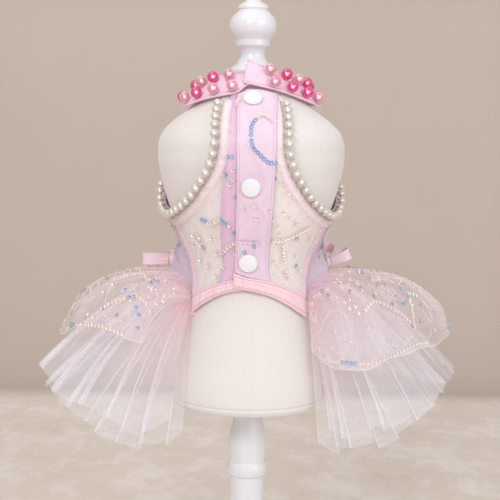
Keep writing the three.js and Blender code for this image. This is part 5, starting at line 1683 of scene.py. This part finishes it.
def make_tulle(name, rows, over_seam, pleats, seed, hem_depth):
    """One knife-pleated layer, whose pleats stand deeper the further they fall."""
    fall = Fall(rows, over_seam)
    columns = knife_pleats(pleats, seed, 0.17)
    pick = random.Random(seed + 1)
    waves = [(pick.uniform(3, 17), pick.uniform(0, 6.28), pick.uniform(0.25, 0.7))
             for _ in range(6)]
    us = [k / (len(columns) - 1) for k in range(len(columns))]
    last = len(columns) - 1

    def place(u, v, out):
        column = columns[round(u * last)]
        share = column["share"]
        down = v * (1 + 0.022 * column["hem"])
        depth = PLEAT_AT_SEAM + (hem_depth - PLEAT_AT_SEAM) * v ** 1.3
        wave = sum(a * math.sin(f * share * 6.283 + p + 1.3 * v) for f, p, a in waves) * v ** 1.5
        return fall.point(share, down) + fall.normal(share, min(1, down)) * (
            depth * (column["height"] - 0.35) + wave + out)

    # Painted highlight and density along the pleats' fold edges and near the seam.
    def crest_highlight_and_density(u, v):
        return min(1.0, columns[round(u * last)]["crest_highlight_and_density"] * (0.55 + 0.45 * v) + 0.45 * (1 - v) ** 2)

    def seam_glow(u, v):
        corner = smoothstep(0.13, 0.0, min(u, 1 - u))
        return min(1.0, (0.55 + 0.6 * corner) * (1 - v) ** 1.6)

    run = [0.0]
    for one, two in zip(columns, columns[1:]):
        run.append(run[-1] + abs(two["share"] - one["share"]) * fall.hem_length * MM)
    piece = cloth(f"{name}_net", us, span(38), place, nylon_tulle(), cut=(run[-1], 0.105),
                  marks={"crest_highlight_and_density": crest_highlight_and_density, "near_seam": seam_glow}, run=run)
    return finish_piece(piece, [name])


class SequinSkirt:
    """The top layer: soft gathers that leave the seam and open into a few broad folds."""

    def __init__(self):
        self.fall = Fall(SEQUIN_ROWS, 5.6)
        pick = random.Random(44)
        count = sizes().gathers
        self.folds = []
        for k in range(count):
            self.folds.append({
                "at": (k + 0.5 + pick.uniform(-0.36, 0.36)) / count,
                "wide": pick.uniform(0.0045, 0.0105), "high": pick.uniform(0.7, 1.9),
                "fade": pick.uniform(0.35, 1.5), "lean": pick.uniform(-0.006, 0.006)})
        for k in range(70):
            self.folds.append({
                "at": (k + pick.uniform(0.1, 0.9)) / 70, "wide": pick.uniform(0.0018, 0.0036),
                "high": pick.uniform(0.25, 0.6), "fade": pick.uniform(0.12, 0.42),
                "lean": pick.uniform(-0.004, 0.004)})

        # Short slanted creases, as net keeps them after it has been packed flat.
        self.creases = [{
            "share": pick.uniform(0.01, 0.99), "down": pick.uniform(0.15, 0.9),
            "slope": pick.choice((-1, 1)) * pick.uniform(0.02, 0.11),
            "long": pick.uniform(0.08, 0.26), "wide": pick.uniform(0.0011, 0.0024),
            "high": pick.choice((0.35, 0.5, 0.65, -0.3))} for _ in range(150)]
        self.creases.sort(key=lambda crease: crease["share"])
        self.crease_at = [crease["share"] for crease in self.creases]

    def crushed(self, share, down):
        total = 0.0
        near = bisect.bisect_left(self.crease_at, share - 0.035)
        far = bisect.bisect_right(self.crease_at, share + 0.035)
        for crease in self.creases[near:far]:
            dv = down - crease["down"]
            if abs(dv) < 2.2 * crease["long"]:
                across = share - crease["share"] - crease["slope"] * dv
                total += (crease["high"] * hump(across, 0, crease["wide"])
                          * hump(dv, 0, crease["long"]))
        return total

    def fold(self, share, down):
        total = self.crushed(share, down)
        for fold in self.folds:
            across = share - fold["at"] - fold["lean"] * down
            wide = fold["wide"] * (0.55 + 0.75 * down)
            if abs(across) < 3 * wide:
                fade = math.exp(-((down / fold["fade"]) ** 2)) * smoothstep(0, 0.06, down + 0.02)
                total += fold["high"] * fade * hump(across, 0, wide)
        return total

    def spot(self, share, down, out=0.0):
        normal = self.fall.normal(share, min(1.0, down))
        height = self.fold(share, down) * 0.8 - 0.3
        return self.fall.point(share, down) + normal * (height + out)


def make_skirt():
    upper = make_tulle("skirt_tulle_upper", UPPER_ROWS, 3.2, sizes().pleats_upper, 9, 3.2)
    under = make_tulle("skirt_tulle_under", UNDER_ROWS, 0.8, sizes().pleats_under, 21, 3.4)
    skirt = SequinSkirt()

    def place(u, v, out):
        ruffle = 0.010 * math.sin(u * 61 + 2 * math.sin(u * 13)) + 0.006 * math.sin(u * 143)
        return skirt.spot(u, v * (1 + ruffle), out)

    # Painted highlight and density on the hem, the side edges and the ridges of the gathers.
    def crest_highlight_and_density(u, v):
        edge = 0.7 * max(hump(v, 1.0, 0.010), hump(u, 0.0, 0.0012), hump(u, 1.0, 0.0012))
        return min(1.0, max(edge, skirt.fold(u, v) * 0.42))

    top = cloth("skirt_sequin_net", span(820), span(44), place, embroidered_net(),
                cut=(0.60, 0.105),
                marks={"crest_highlight_and_density": crest_highlight_and_density, "near_seam": lambda u, v: 0.6 * (1 - v) ** 1.2})
    finish_piece(top, ["skirt_sequin"])
    return skirt


# ---------------------------------------------------------------- bows
def ribbon_loop(root, outward, sideways, length, tip, node):
    """One loop of ribbon that leaves the knot, opens and comes back to it."""
    forward = outward.normalized()
    flat = (sideways - forward * sideways.dot(forward)).normalized()
    wide = forward.cross(flat).normalized()

    def path_at(w):
        far = (1 - math.cos(2 * math.pi * w)) / 2
        opened = LOOP_SPREAD * math.sin(2 * math.pi * w) * math.sqrt(far) + 1.1 * (1 - 2 * w)
        return root + forward * (length * far ** 0.8) + flat * opened

    def place(u, v, out):
        run = (path_at(min(1, v + 0.01)) - path_at(max(0, v - 0.01))).normalized()
        face = run.cross(wide).normalized()
        width = 5.0 + (tip - 5.0) * math.sin(math.pi * v) ** 0.8
        cup = 0.35 * math.cos(math.pi * (u - 0.5)) - 0.2
        pinch = 0.5 * math.sin(3 * math.pi * u) * (1 - math.sin(math.pi * v)) ** 2
        return path_at(v) + wide * ((u - 0.5) * width) + face * (cup + pinch + out - 0.3)

    loop = cloth(f"{node}_ribbon", span(12, 0.02), span(90, 0.004), place, satin_ribbon(),
                 wall=0.6, cut=(tip * MM, length * 2.2 * MM))
    finish_piece(loop, [node])


def make_bows():
    for bow in BOWS:
        z = read(SEAM_ROWS, "turn", "z", bow["turn"]) + KNOT_OVER_SEAM
        normal = form_normal(bow["turn"], z)
        outward = Vector((normal.x, normal.y, 0)).normalized()
        around = Vector((-outward.y, outward.x, 0))
        front = -around if around.y > 0 else around
        centre = on_cloth_at(bow["turn"], z, LAYER_2 + KNOT_DEEP + 0.8)
        points, faces, uv = [], [], []
        sides, rings = 40, 22
        for j in range(rings + 1):
            tilt = math.pi * j / rings
            for i in range(sides):
                spin = 2 * math.pi * i / sides
                crease = 1 - 0.07 * abs(math.sin(3.5 * spin)) * math.sin(tilt)
                wide = math.sin(tilt) ** 0.8
                points.append(centre + Vector((0, 0, -KNOT_HIGH * math.cos(tilt)))
                              + front * (KNOT_ACROSS * wide * math.cos(spin) * crease)
                              + outward * (KNOT_DEEP * wide * math.sin(spin) * crease))
                uv.append((0.016 * i / sides, 0.008 * j / rings))
        for j in range(rings):
            for i in range(sides):
                n = (i + 1) % sides
                a, b = j * sides, (j + 1) * sides
                faces.append((a + i, a + n, b + n, b + i))
        knot = object_from(f"bow_{bow['name']}_knot_ribbon", points, faces, satin_ribbon(), uv)
        close_poles(knot)
        finish_piece(knot, [f"bow_{bow['name']}_knot"])
        lean = Vector((0, 0, bow["lean"]))
        ways = (("loop_front", front * 0.25 + outward + lean, front),
                ("loop_rear", outward * 0.55 - front + lean, outward))
        for part, way, sideways in ways:
            root = centre + way.normalized() * (KNOT_ACROSS + 0.6)
            ribbon_loop(root, way, sideways, bow[part],
                        sizes().ribbon / MM, f"bow_{bow['name']}_{part}")


def close_poles(obj):
    """Merges the rings of points that meet in a pole, and turns the faces outwards."""
    work = bmesh.new()
    work.from_mesh(obj.data)
    bmesh.ops.remove_doubles(work, verts=work.verts, dist=1e-7)
    bmesh.ops.recalc_face_normals(work, faces=work.faces)
    work.to_mesh(obj.data)
    work.free()


# ---------------------------------------------------------------- sequins and embroidery
def smooth_path(stops, steps):
    """A smooth line through a few stops of two numbers each."""
    rows = [{"a": a, "b": b} for a, b in stops]
    return [along(rows, ("a", "b"), k / steps) for k in range(steps + 1)]


class Beading:
    """Collects sequins and embroidery lines, and makes one piece of each."""

    def __init__(self, name, tip, thread_share):
        self.name = name
        self.tip = tip                       # how far the sequins tip outwards where they hang
        self.thread_share = thread_share     # thickness of this thread, as a share of the usual
        self.spots, self.aims, self.tints, self.lines = [], [], [], []

    def single(self, point, normal, tint, pick):
        # Each hangs a little askew, and at the belly side more of them face forwards.
        tilt = Vector((pick.uniform(-1, 1), pick.uniform(-1, 1), pick.uniform(-1, 1))) * 0.22
        outward = Vector((point.x, point.y - 90 * smoothstep(45, -25, point.y), 0)).normalized()
        outward.z = 0.32
        self.spots.append([point + normal * 0.35])
        self.aims.append((normal + outward * self.tip + tilt).normalized())
        self.tints.append(tint)

    def chain(self, points, normals, tints, pick):
        self.lines.append([p + n * 0.15 for p, n in zip(points, normals)])
        chosen = resample(points, sizes().sequin_pitch / MM)
        for n, (k, point) in enumerate(chosen):
            tint = tints[int(n * len(tints) / len(chosen))] + pick.uniform(-0.06, 0.06)
            self.single(point, normals[min(len(normals) - 1, round(k))], min(1, max(0, tint)), pick)

    def thread_only(self, points, normals):
        self.lines.append([p + n * 0.15 for p, n in zip(points, normals)])

    def build(self):
        sequins = path_object(f"{self.name}_sequins", self.spots, self.aims, self.tints)
        run_tree(sequins, sequin_tree(), {"Diameter": sizes().sequin}, cup_sequin())
        finish_piece(sequins)
        lines = path_object(f"{self.name}_embroidery", self.lines)
        run_tree(lines, thread_tree(), {"Radius": sizes().thread / 2 * self.thread_share},
                 thread("white_rayon_embroidery_thread", "#f6eef2"))
        finish_piece(lines)


def bodice_layer(turn, z):
    """How far the outermost cloth lies from the form on the belly side."""
    wide = read(FORM_ROWS, "z", "wide", z) + LAYER_2
    x = -wide * math.sin(math.radians(turn))
    left = read(PLACKET_ROWS, "z", "over_left", z)
    right = read(PLACKET_ROWS, "z", "over_right", z)
    if left < x < right:
        return LAYER_2 + CLOTH + max(0.0, placket_wrinkle(x, z))
    if read(PLACKET_ROWS, "z", "under_left", z) < x <= left:
        return LAYER_1 + CLOTH + 0.75
    return LAYER_1 + CLOTH + 0.1


def bodice_spot(turn, z):
    return on_cloth(turn, z, bodice_layer(turn, z)), form_normal(turn, z)


def make_bodice_beading():
    pick = random.Random(12)
    work = Beading("bodice", 0.7, 0.55)
    for chain in BODICE_CHAINS:
        line = smooth_path(chain["path"], 40)
        pairs = [bodice_spot(p["a"], p["b"]) for p in line]
        work.chain([p for p, _ in pairs], [n for _, n in pairs], chain["tints"], pick)
    for turn, z, tint in BODICE_SINGLES:
        work.single(*bodice_spot(turn, z), tint, pick)
    scrolls = (
        ((44, 262), (34, 258), (26, 262), (20, 268), (26, 274), (34, 270)),
        ((22, 240), (32, 244), (42, 240), (50, 232)), ((-16, 250), (-24, 246), (-30, 236)),
        ((-40, 262), (-48, 256), (-52, 246), (-46, 240)), ((17, 300), (20, 290), (28, 284)),
    )
    for stops in scrolls:
        pairs = [bodice_spot(p["a"], p["b"]) for p in smooth_path(stops, 30)]
        work.thread_only([p - n * 0.1 for p, n in pairs], [n for _, n in pairs])
    # The back: a scroll with a row of sequins every 24 degrees, and singles between.
    for k in range(8):
        turn = 96 + k * 24
        half = 360 - turn if turn > 180 else turn
        top = read(BACK_TOP_ROWS, "turn", "z", max(81.5, half - 6)) - 22
        z = min(262 + 22 * ((k * 5) % 3), top)
        stops = ((turn - 7, z - 14), (turn + 1, z - 4), (turn + 7, z + 6), (turn, z + 13),
                 (turn - 6, z + 8))
        line = smooth_path(stops, 40)
        pairs = [back_net_spot(p["a"], p["b"]) for p in line]
        work.chain([p for p, _ in pairs], [n for _, n in pairs],
                   (0.1, 0.5, 0.05, 0.7) if k % 2 else (0.4, 0.1, 0.9, 0.3), pick)
    for _ in range(70):
        turn = pick.uniform(84, 276)
        half = 360 - turn if turn > 180 else turn
        top = read(BACK_TOP_ROWS, "turn", "z", max(81.5, half)) - 12
        z = pick.uniform(242, max(246, top))
        work.single(*back_net_spot(turn, z), pick.choice((0.05, 0.1, 0.45, 0.9, 0.7, 0.95)), pick)
    work.build()


def back_net_spot(turn, z):
    lift = back_fold(turn % 360, z) * BACK_FOLD_SHARE
    return on_cloth(turn, z, LAYER_1 + CLOTH + 0.5 + lift), form_normal(turn, z)


def make_skirt_beading(skirt):
    """Rows of sequins along the hem with gaps, scrolls above them, and scattered singles."""
    pick = random.Random(77)
    work = Beading("skirt", 2.2, 1.0)
    hem = skirt.fall.hem_length

    def pairs_of(stops, steps=50):
        line = smooth_path(stops, steps)
        points = [skirt.spot(p["a"], p["b"], 0.1) for p in line]
        return points, [skirt.fall.normal(p["a"], min(1, p["b"])) for p in line]

    rows_of_sequins = (
        (0.022, 0.98, 0.115, 0.975), (0.86, 0.975, 0.985, 0.955), (0.15, 0.97, 0.21, 0.975),
        (0.25, 0.95, 0.335, 0.96), (0.39, 0.96, 0.45, 0.95), (0.50, 0.96, 0.585, 0.95),
        (0.64, 0.95, 0.70, 0.96), (0.745, 0.94, 0.82, 0.95),
    )
    cream = (0.05, 0.1, 0.05, 0.45, 0.1, 0.7, 0.05)
    for s0, v0, s1, v1 in rows_of_sequins:
        middle = ((s0 + s1) / 2, (v0 + v1) / 2 + 0.008)
        points, normals = pairs_of(((s0, v0), middle, (s1, v1)))
        work.chain(points, normals, cream, pick)
    # Each motif is a curl with two leaves; sizes are in mm of hem and shares of the fall.
    count = 17
    for k in range(count):
        s = (k + 0.5) / count + pick.uniform(-0.008, 0.008)
        size_mm = pick.uniform(15, 22) / hem
        flip = 1 if k % 2 else -1
        v = pick.uniform(0.56, 0.66)
        curl = tuple((s + flip * size_mm * x, v + y) for x, y in (
            (-1.0, 0.22), (-0.55, 0.08), (0.0, -0.06), (0.62, -0.02), (0.72, 0.12), (0.3, 0.2),
            (0.05, 0.1)))
        points, normals = pairs_of(curl)
        if k % 3 != 1:
            cut = len(points) // 2 + pick.randrange(-4, 12)
            tints = ((0.1, 0.05, 0.3, 0.05, 0.05) if k % 2
                     else (0.3, 0.1, 0.05, 0.68, 0.1, 0.05))
            work.chain(points[:cut], normals[:cut], tints, pick)
            work.thread_only(points[cut:], normals[cut:])
        else:
            work.thread_only(points, normals)
        for x, y in ((-0.9, -0.02), (0.5, -0.2)):
            leaf = tuple((s + flip * size_mm * (x + a), v + y + b) for a, b in (
                (0.0, 0.0), (0.22, -0.08), (0.1, -0.17), (-0.12, -0.1), (0.0, 0.0)))
            points, normals = pairs_of(leaf, 26)
            work.thread_only(points, normals)
        stem = tuple((s + flip * size_mm * x, v + y) for x, y in (
            (0.1, 0.26), (-0.3, 0.30), (-0.8, 0.26)))
        points, normals = pairs_of(stem, 20)
        work.thread_only(points, normals)
    # Short rows near the seam.
    for k in range(9):
        s = 0.05 + k * 0.112 + pick.uniform(-0.01, 0.01)
        v = pick.uniform(0.2, 0.34)
        points, normals = pairs_of(((s, v), (s + 0.014, v + 0.05), (s + 0.03, v + 0.04)), 20)
        work.chain(points, normals, (0.05, 0.3, 0.1) if k % 2 else (0.88, 0.3, 0.1), pick)
    for _ in range(300):
        s, v = pick.uniform(0.006, 0.994), pick.uniform(0.14, 0.92)
        tint = pick.choice((0.05, 0.1, 0.05, 0.3, 0.05, 0.5, 0.1, 0.2, 0.4, 0.68, 0.88, 0.95))
        work.single(skirt.spot(s, v, 0.1), skirt.fall.normal(s, v), tint, pick)
    work.build()


# ---------------------------------------------------------------- stage
def aimed(position, target):
    """The turn of a lamp or camera that looks from a position to a target."""
    return (target - position).to_track_quat("-Z", "Y")


def area_light(name, position, target, width, power, shade):
    light = bpy.data.lights.new(name, "AREA")
    light.shape = "SQUARE"
    light.size = width
    light.energy = power
    light.color = linear(shade)
    obj = bpy.data.objects.new(name, light)
    obj.location = position
    obj.rotation_mode = "QUATERNION"
    obj.rotation_quaternion = aimed(Vector(position), Vector(target))
    bpy.context.scene.collection.objects.link(obj)


def matt_board(name, base, through_back, stretch=(1, 1, 1), veins=0.0, meets=None):
    """Matt painted board with a faint cloud of tone; its back lets the view through. veins draws
    long worn streaks, as on washed boards, and meets is the colour it fades to at the wall."""
    material, tree, shader = new_material(name)
    if not tree:
        return material
    place = add(tree, "ShaderNodeTexCoord").outputs["Object"]
    drawn = add(tree, "ShaderNodeMapping", values={"Scale": stretch}, links={"Vector": place})
    cloud = add(tree, "ShaderNodeTexNoise", values={"Scale": 5.0, "Detail": 5.0},
                links={"Vector": drawn})
    tone = two_tones(tree, cloud, darker(base, 0.93),
                     tuple(min(1, c * 1.04) for c in base))
    if veins:
        worn = add(tree, "ShaderNodeTexNoise",
                   values={"Scale": 13.0, "Detail": 12.0, "Roughness": 0.74, "Distortion": 0.2},
                   links={"Vector": drawn})
        patch = add(tree, "ShaderNodeMapRange", {"interpolation_type": "SMOOTHSTEP"},
                    {"From Min": 0.46, "From Max": 0.6, "To Min": 0.0, "To Max": veins},
                    {"Value": worn})
        light = add(tree, "ShaderNodeMix", {"data_type": "RGBA"},
                    {7: (*towards(base, (1, 0.98, 0.94), 0.45), 1)}, {0: patch, 6: tone})
        crack = add(tree, "ShaderNodeMapRange", None,
                    {"From Min": 0.36, "From Max": 0.42, "To Min": veins * 0.5, "To Max": 0.0},
                    {"Value": worn})
        tone = add(tree, "ShaderNodeMix", {"data_type": "RGBA"}, {7: (*darker(base, 0.72), 1)},
                   {0: crack, 6: light.outputs[2]}).outputs[2]
    if meets:
        depth = add(tree, "ShaderNodeSeparateXYZ", links={"Vector": place}).outputs["Y"]
        joint = add(tree, "ShaderNodeMapRange", {"interpolation_type": "SMOOTHSTEP"},
                    {"From Min": (WALL_Y - 75) * MM, "From Max": (WALL_Y - 4) * MM},
                    {"Value": depth})
        tone = add(tree, "ShaderNodeMix", {"data_type": "RGBA"}, {7: (*meets, 1)},
                   {0: joint, 6: tone}).outputs[2]
    feed(tree, shader, {"Roughness": 0.9, "Specular IOR Level": 0.1}, {"Base Color": tone})
    if through_back:
        back = add(tree, "ShaderNodeNewGeometry").outputs["Backfacing"]
        clear = add(tree, "ShaderNodeBsdfTransparent")
        mix = add(tree, "ShaderNodeMixShader",
                  links={0: back, 1: shader.outputs["BSDF"], 2: clear})
        tree.links.new(mix.outputs["Shader"], tree.nodes["Material Output"].inputs["Surface"])
    return material


def make_stage():
    """Floor and wall, soft daylight from a large room, and the camera."""
    scene = bpy.context.scene
    oak = matt_board("washed_oak_board", tuple(colours().floor), False, (1.3, 0.9, 1), 0.62,
                     darker(tuple(colours().wall), 0.93))
    corners = ((-STAGE_REACH, -STAGE_REACH), (STAGE_REACH, -STAGE_REACH), (STAGE_REACH, WALL_Y),
               (-STAGE_REACH, WALL_Y))
    floor = object_from("stage_floor", [Vector((x, y, FLOOR_Z)) for x, y in corners],
                        [(0, 1, 2, 3)], oak, smooth=False)
    corners = ((-STAGE_REACH, FLOOR_Z), (STAGE_REACH, FLOOR_Z), (STAGE_REACH, WALL_HIGH),
               (-STAGE_REACH, WALL_HIGH))
    wall = object_from("stage_wall", [Vector((x, WALL_Y, z)) for x, z in corners],
                       [(0, 1, 2, 3)], matt_board("wall_board", tuple(colours().wall), True),
                       smooth=False)

    world = bpy.data.worlds.new("soft_room_light")
    scene.world = world
    world.use_nodes = True
    tree = world.node_tree
    room = tree.nodes["Background"]
    up = add(tree, "ShaderNodeSeparateXYZ",
             links={"Vector": add(tree, "ShaderNodeTexCoord").outputs["Generated"]})
    bright = add(tree, "ShaderNodeMapRange", {"interpolation_type": "SMOOTHSTEP"},
                 {"From Min": -0.1, "From Max": 0.75, "To Min": 0.50, "To Max": 0.92},
                 {"Value": up.outputs["Z"]})
    tree.links.new(bright.outputs["Result"], room.inputs["Strength"])
    room.inputs["Color"].default_value = (*linear("#eef2f8"), 1)
    seen = add(tree, "ShaderNodeBackground", values={"Strength": 0.9})
    seen.inputs["Color"].default_value = (*linear("#cbbcae"), 1)
    ray = add(tree, "ShaderNodeLightPath").outputs["Is Camera Ray"]
    mix = add(tree, "ShaderNodeMixShader", links={0: ray, 1: room.outputs["Background"], 2: seen})
    tree.links.new(mix.outputs["Shader"], tree.nodes["World Output"].inputs["Surface"])

    middle = (0, 0, 0.24)
    area_light("key_light", (-0.42, -1.15, 1.00), middle, 0.42, 5.6, "#fdfbff")
    area_light("fill_light", (0.95, -1.0, 0.7), middle, 0.8, 5.2, "#f8faff")
    area_light("wall_light", (-0.5, -0.1, 1.7), (-0.2, 0.68, 0.3), 0.8, 3.6, "#fff8f0")

    lens = bpy.data.cameras.new("camera")
    lens.sensor_width = 36.0
    lens.lens = LENS
    lens.clip_start = 0.05
    lens.clip_end = 30
    camera = bpy.data.objects.new("camera", lens)
    target = Vector((0, 0, CAMERA_AIMS_AT))
    tilt = math.radians(CAMERA_TILT)
    camera.location = target + Vector((0, -math.cos(tilt), math.sin(tilt))) * CAMERA_AWAY
    camera.rotation_mode = "QUATERNION"
    camera.rotation_quaternion = aimed(camera.location, target) @ Quaternion((0, 0, 1), CAMERA_ROLL)
    scene.collection.objects.link(camera)
    scene.camera = camera
    scene.view_settings.view_transform = "Standard"
    scene.cycles.transparent_max_bounces = 40


# ---------------------------------------------------------------- the add-on
class DRESS_OT_stand(bpy.types.Operator):
    """Turned base, column and neck finial"""
    bl_idname = "tulle_dress.stand"
    bl_label = "Stand"
    bl_options = {"REGISTER", "UNDO"}

    def execute(self, context):
        make_stand()
        return {"FINISHED"}


class DRESS_OT_form(bpy.types.Operator):
    """The covered form"""
    bl_idname = "tulle_dress.form"
    bl_label = "Form"
    bl_options = {"REGISTER", "UNDO"}

    def execute(self, context):
        make_form()
        return {"FINISHED"}


class DRESS_OT_collar(bpy.types.Operator):
    """Collar band with its pearls and stitches"""
    bl_idname = "tulle_dress.collar"
    bl_label = "Collar"
    bl_options = {"REGISTER", "UNDO"}

    def execute(self, context):
        make_collar()
        return {"FINISHED"}


class DRESS_OT_plackets(bpy.types.Operator):
    """Both plackets and their stitches"""
    bl_idname = "tulle_dress.plackets"
    bl_label = "Plackets"
    bl_options = {"REGISTER", "UNDO"}

    def execute(self, context):
        make_plackets()
        return {"FINISHED"}


class DRESS_OT_caps(bpy.types.Operator):
    """The three snap caps"""
    bl_idname = "tulle_dress.caps"
    bl_label = "Snap caps"
    bl_options = {"REGISTER", "UNDO"}

    def execute(self, context):
        make_caps()
        return {"FINISHED"}


class DRESS_OT_fronts(bpy.types.Operator):
    """Left and right mesh panels"""
    bl_idname = "tulle_dress.fronts"
    bl_label = "Mesh fronts"
    bl_options = {"REGISTER", "UNDO"}

    def execute(self, context):
        make_fronts()
        return {"FINISHED"}


class DRESS_OT_side_seams(bpy.types.Operator):
    """Pink tape on both side seams"""
    bl_idname = "tulle_dress.side_seams"
    bl_label = "Side seams"
    bl_options = {"REGISTER", "UNDO"}

    def execute(self, context):
        make_side_seams()
        return {"FINISHED"}


class DRESS_OT_back(bpy.types.Operator):
    """Satin back and the mesh over it"""
    bl_idname = "tulle_dress.back"
    bl_label = "Back"
    bl_options = {"REGISTER", "UNDO"}

    def execute(self, context):
        make_back()
        return {"FINISHED"}


class DRESS_OT_armholes(bpy.types.Operator):
    """Bindings and pearl trims"""
    bl_idname = "tulle_dress.armholes"
    bl_label = "Armholes"
    bl_options = {"REGISTER", "UNDO"}

    def execute(self, context):
        make_armholes()
        return {"FINISHED"}


class DRESS_OT_hem(bpy.types.Operator):
    """Both strips of the arched hem"""
    bl_idname = "tulle_dress.hem"
    bl_label = "Hem binding"
    bl_options = {"REGISTER", "UNDO"}

    def execute(self, context):
        make_hem()
        return {"FINISHED"}


class DRESS_OT_skirt(bpy.types.Operator):
    """Tulle layers, sequined layer and its beading"""
    bl_idname = "tulle_dress.skirt"
    bl_label = "Skirt"
    bl_options = {"REGISTER", "UNDO"}

    def execute(self, context):
        make_skirt_beading(make_skirt())
        return {"FINISHED"}


class DRESS_OT_bows(bpy.types.Operator):
    """Both satin bows"""
    bl_idname = "tulle_dress.bows"
    bl_label = "Bows"
    bl_options = {"REGISTER", "UNDO"}

    def execute(self, context):
        make_bows()
        return {"FINISHED"}


class DRESS_OT_bodice_beading(bpy.types.Operator):
    """Sequins and embroidery of the bodice"""
    bl_idname = "tulle_dress.bodice_beading"
    bl_label = "Bodice beading"
    bl_options = {"REGISTER", "UNDO"}

    def execute(self, context):
        make_bodice_beading()
        return {"FINISHED"}


class DRESS_OT_stage(bpy.types.Operator):
    """Floor, wall, lights and camera"""
    bl_idname = "tulle_dress.stage"
    bl_label = "Stage"
    bl_options = {"REGISTER", "UNDO"}

    def execute(self, context):
        make_stage()
        return {"FINISHED"}


STEPS = (
    DRESS_OT_stand, DRESS_OT_form, DRESS_OT_collar, DRESS_OT_plackets, DRESS_OT_caps,
    DRESS_OT_fronts, DRESS_OT_side_seams, DRESS_OT_back, DRESS_OT_armholes, DRESS_OT_hem,
    DRESS_OT_skirt, DRESS_OT_bows, DRESS_OT_bodice_beading, DRESS_OT_stage,
)


def main():
    """Builds the whole dress on its form."""
    register()
    for step in STEPS:
        getattr(bpy.ops.tulle_dress, step.bl_idname.split(".")[1])()


class DRESS_PT_panel(bpy.types.Panel):
    bl_label = "Tulle Dress"
    bl_idname = "DRESS_PT_panel"
    bl_space_type = "VIEW_3D"
    bl_region_type = "UI"
    bl_category = "Tulle Dress"

    def draw(self, context):
        for step in STEPS:
            self.layout.operator(step.bl_idname)
        for group in (sizes(), colours()):
            box = self.layout.box()
            for key in group.bl_rna.properties.keys():
                if key not in ("rna_type", "name"):
                    box.prop(group, key)


CLASSES = (DressSizes, DressColours, *STEPS, DRESS_PT_panel)


def register():
    for item in CLASSES:
        bpy.utils.register_class(item)
    bpy.types.Scene.tulle_dress_sizes = bpy.props.PointerProperty(type=DressSizes)
    bpy.types.Scene.tulle_dress_colours = bpy.props.PointerProperty(type=DressColours)


def unregister():
    del bpy.types.Scene.tulle_dress_sizes
    del bpy.types.Scene.tulle_dress_colours
    for item in reversed(CLASSES):
        bpy.utils.unregister_class(item)


if __name__ == "__main__":
    main()
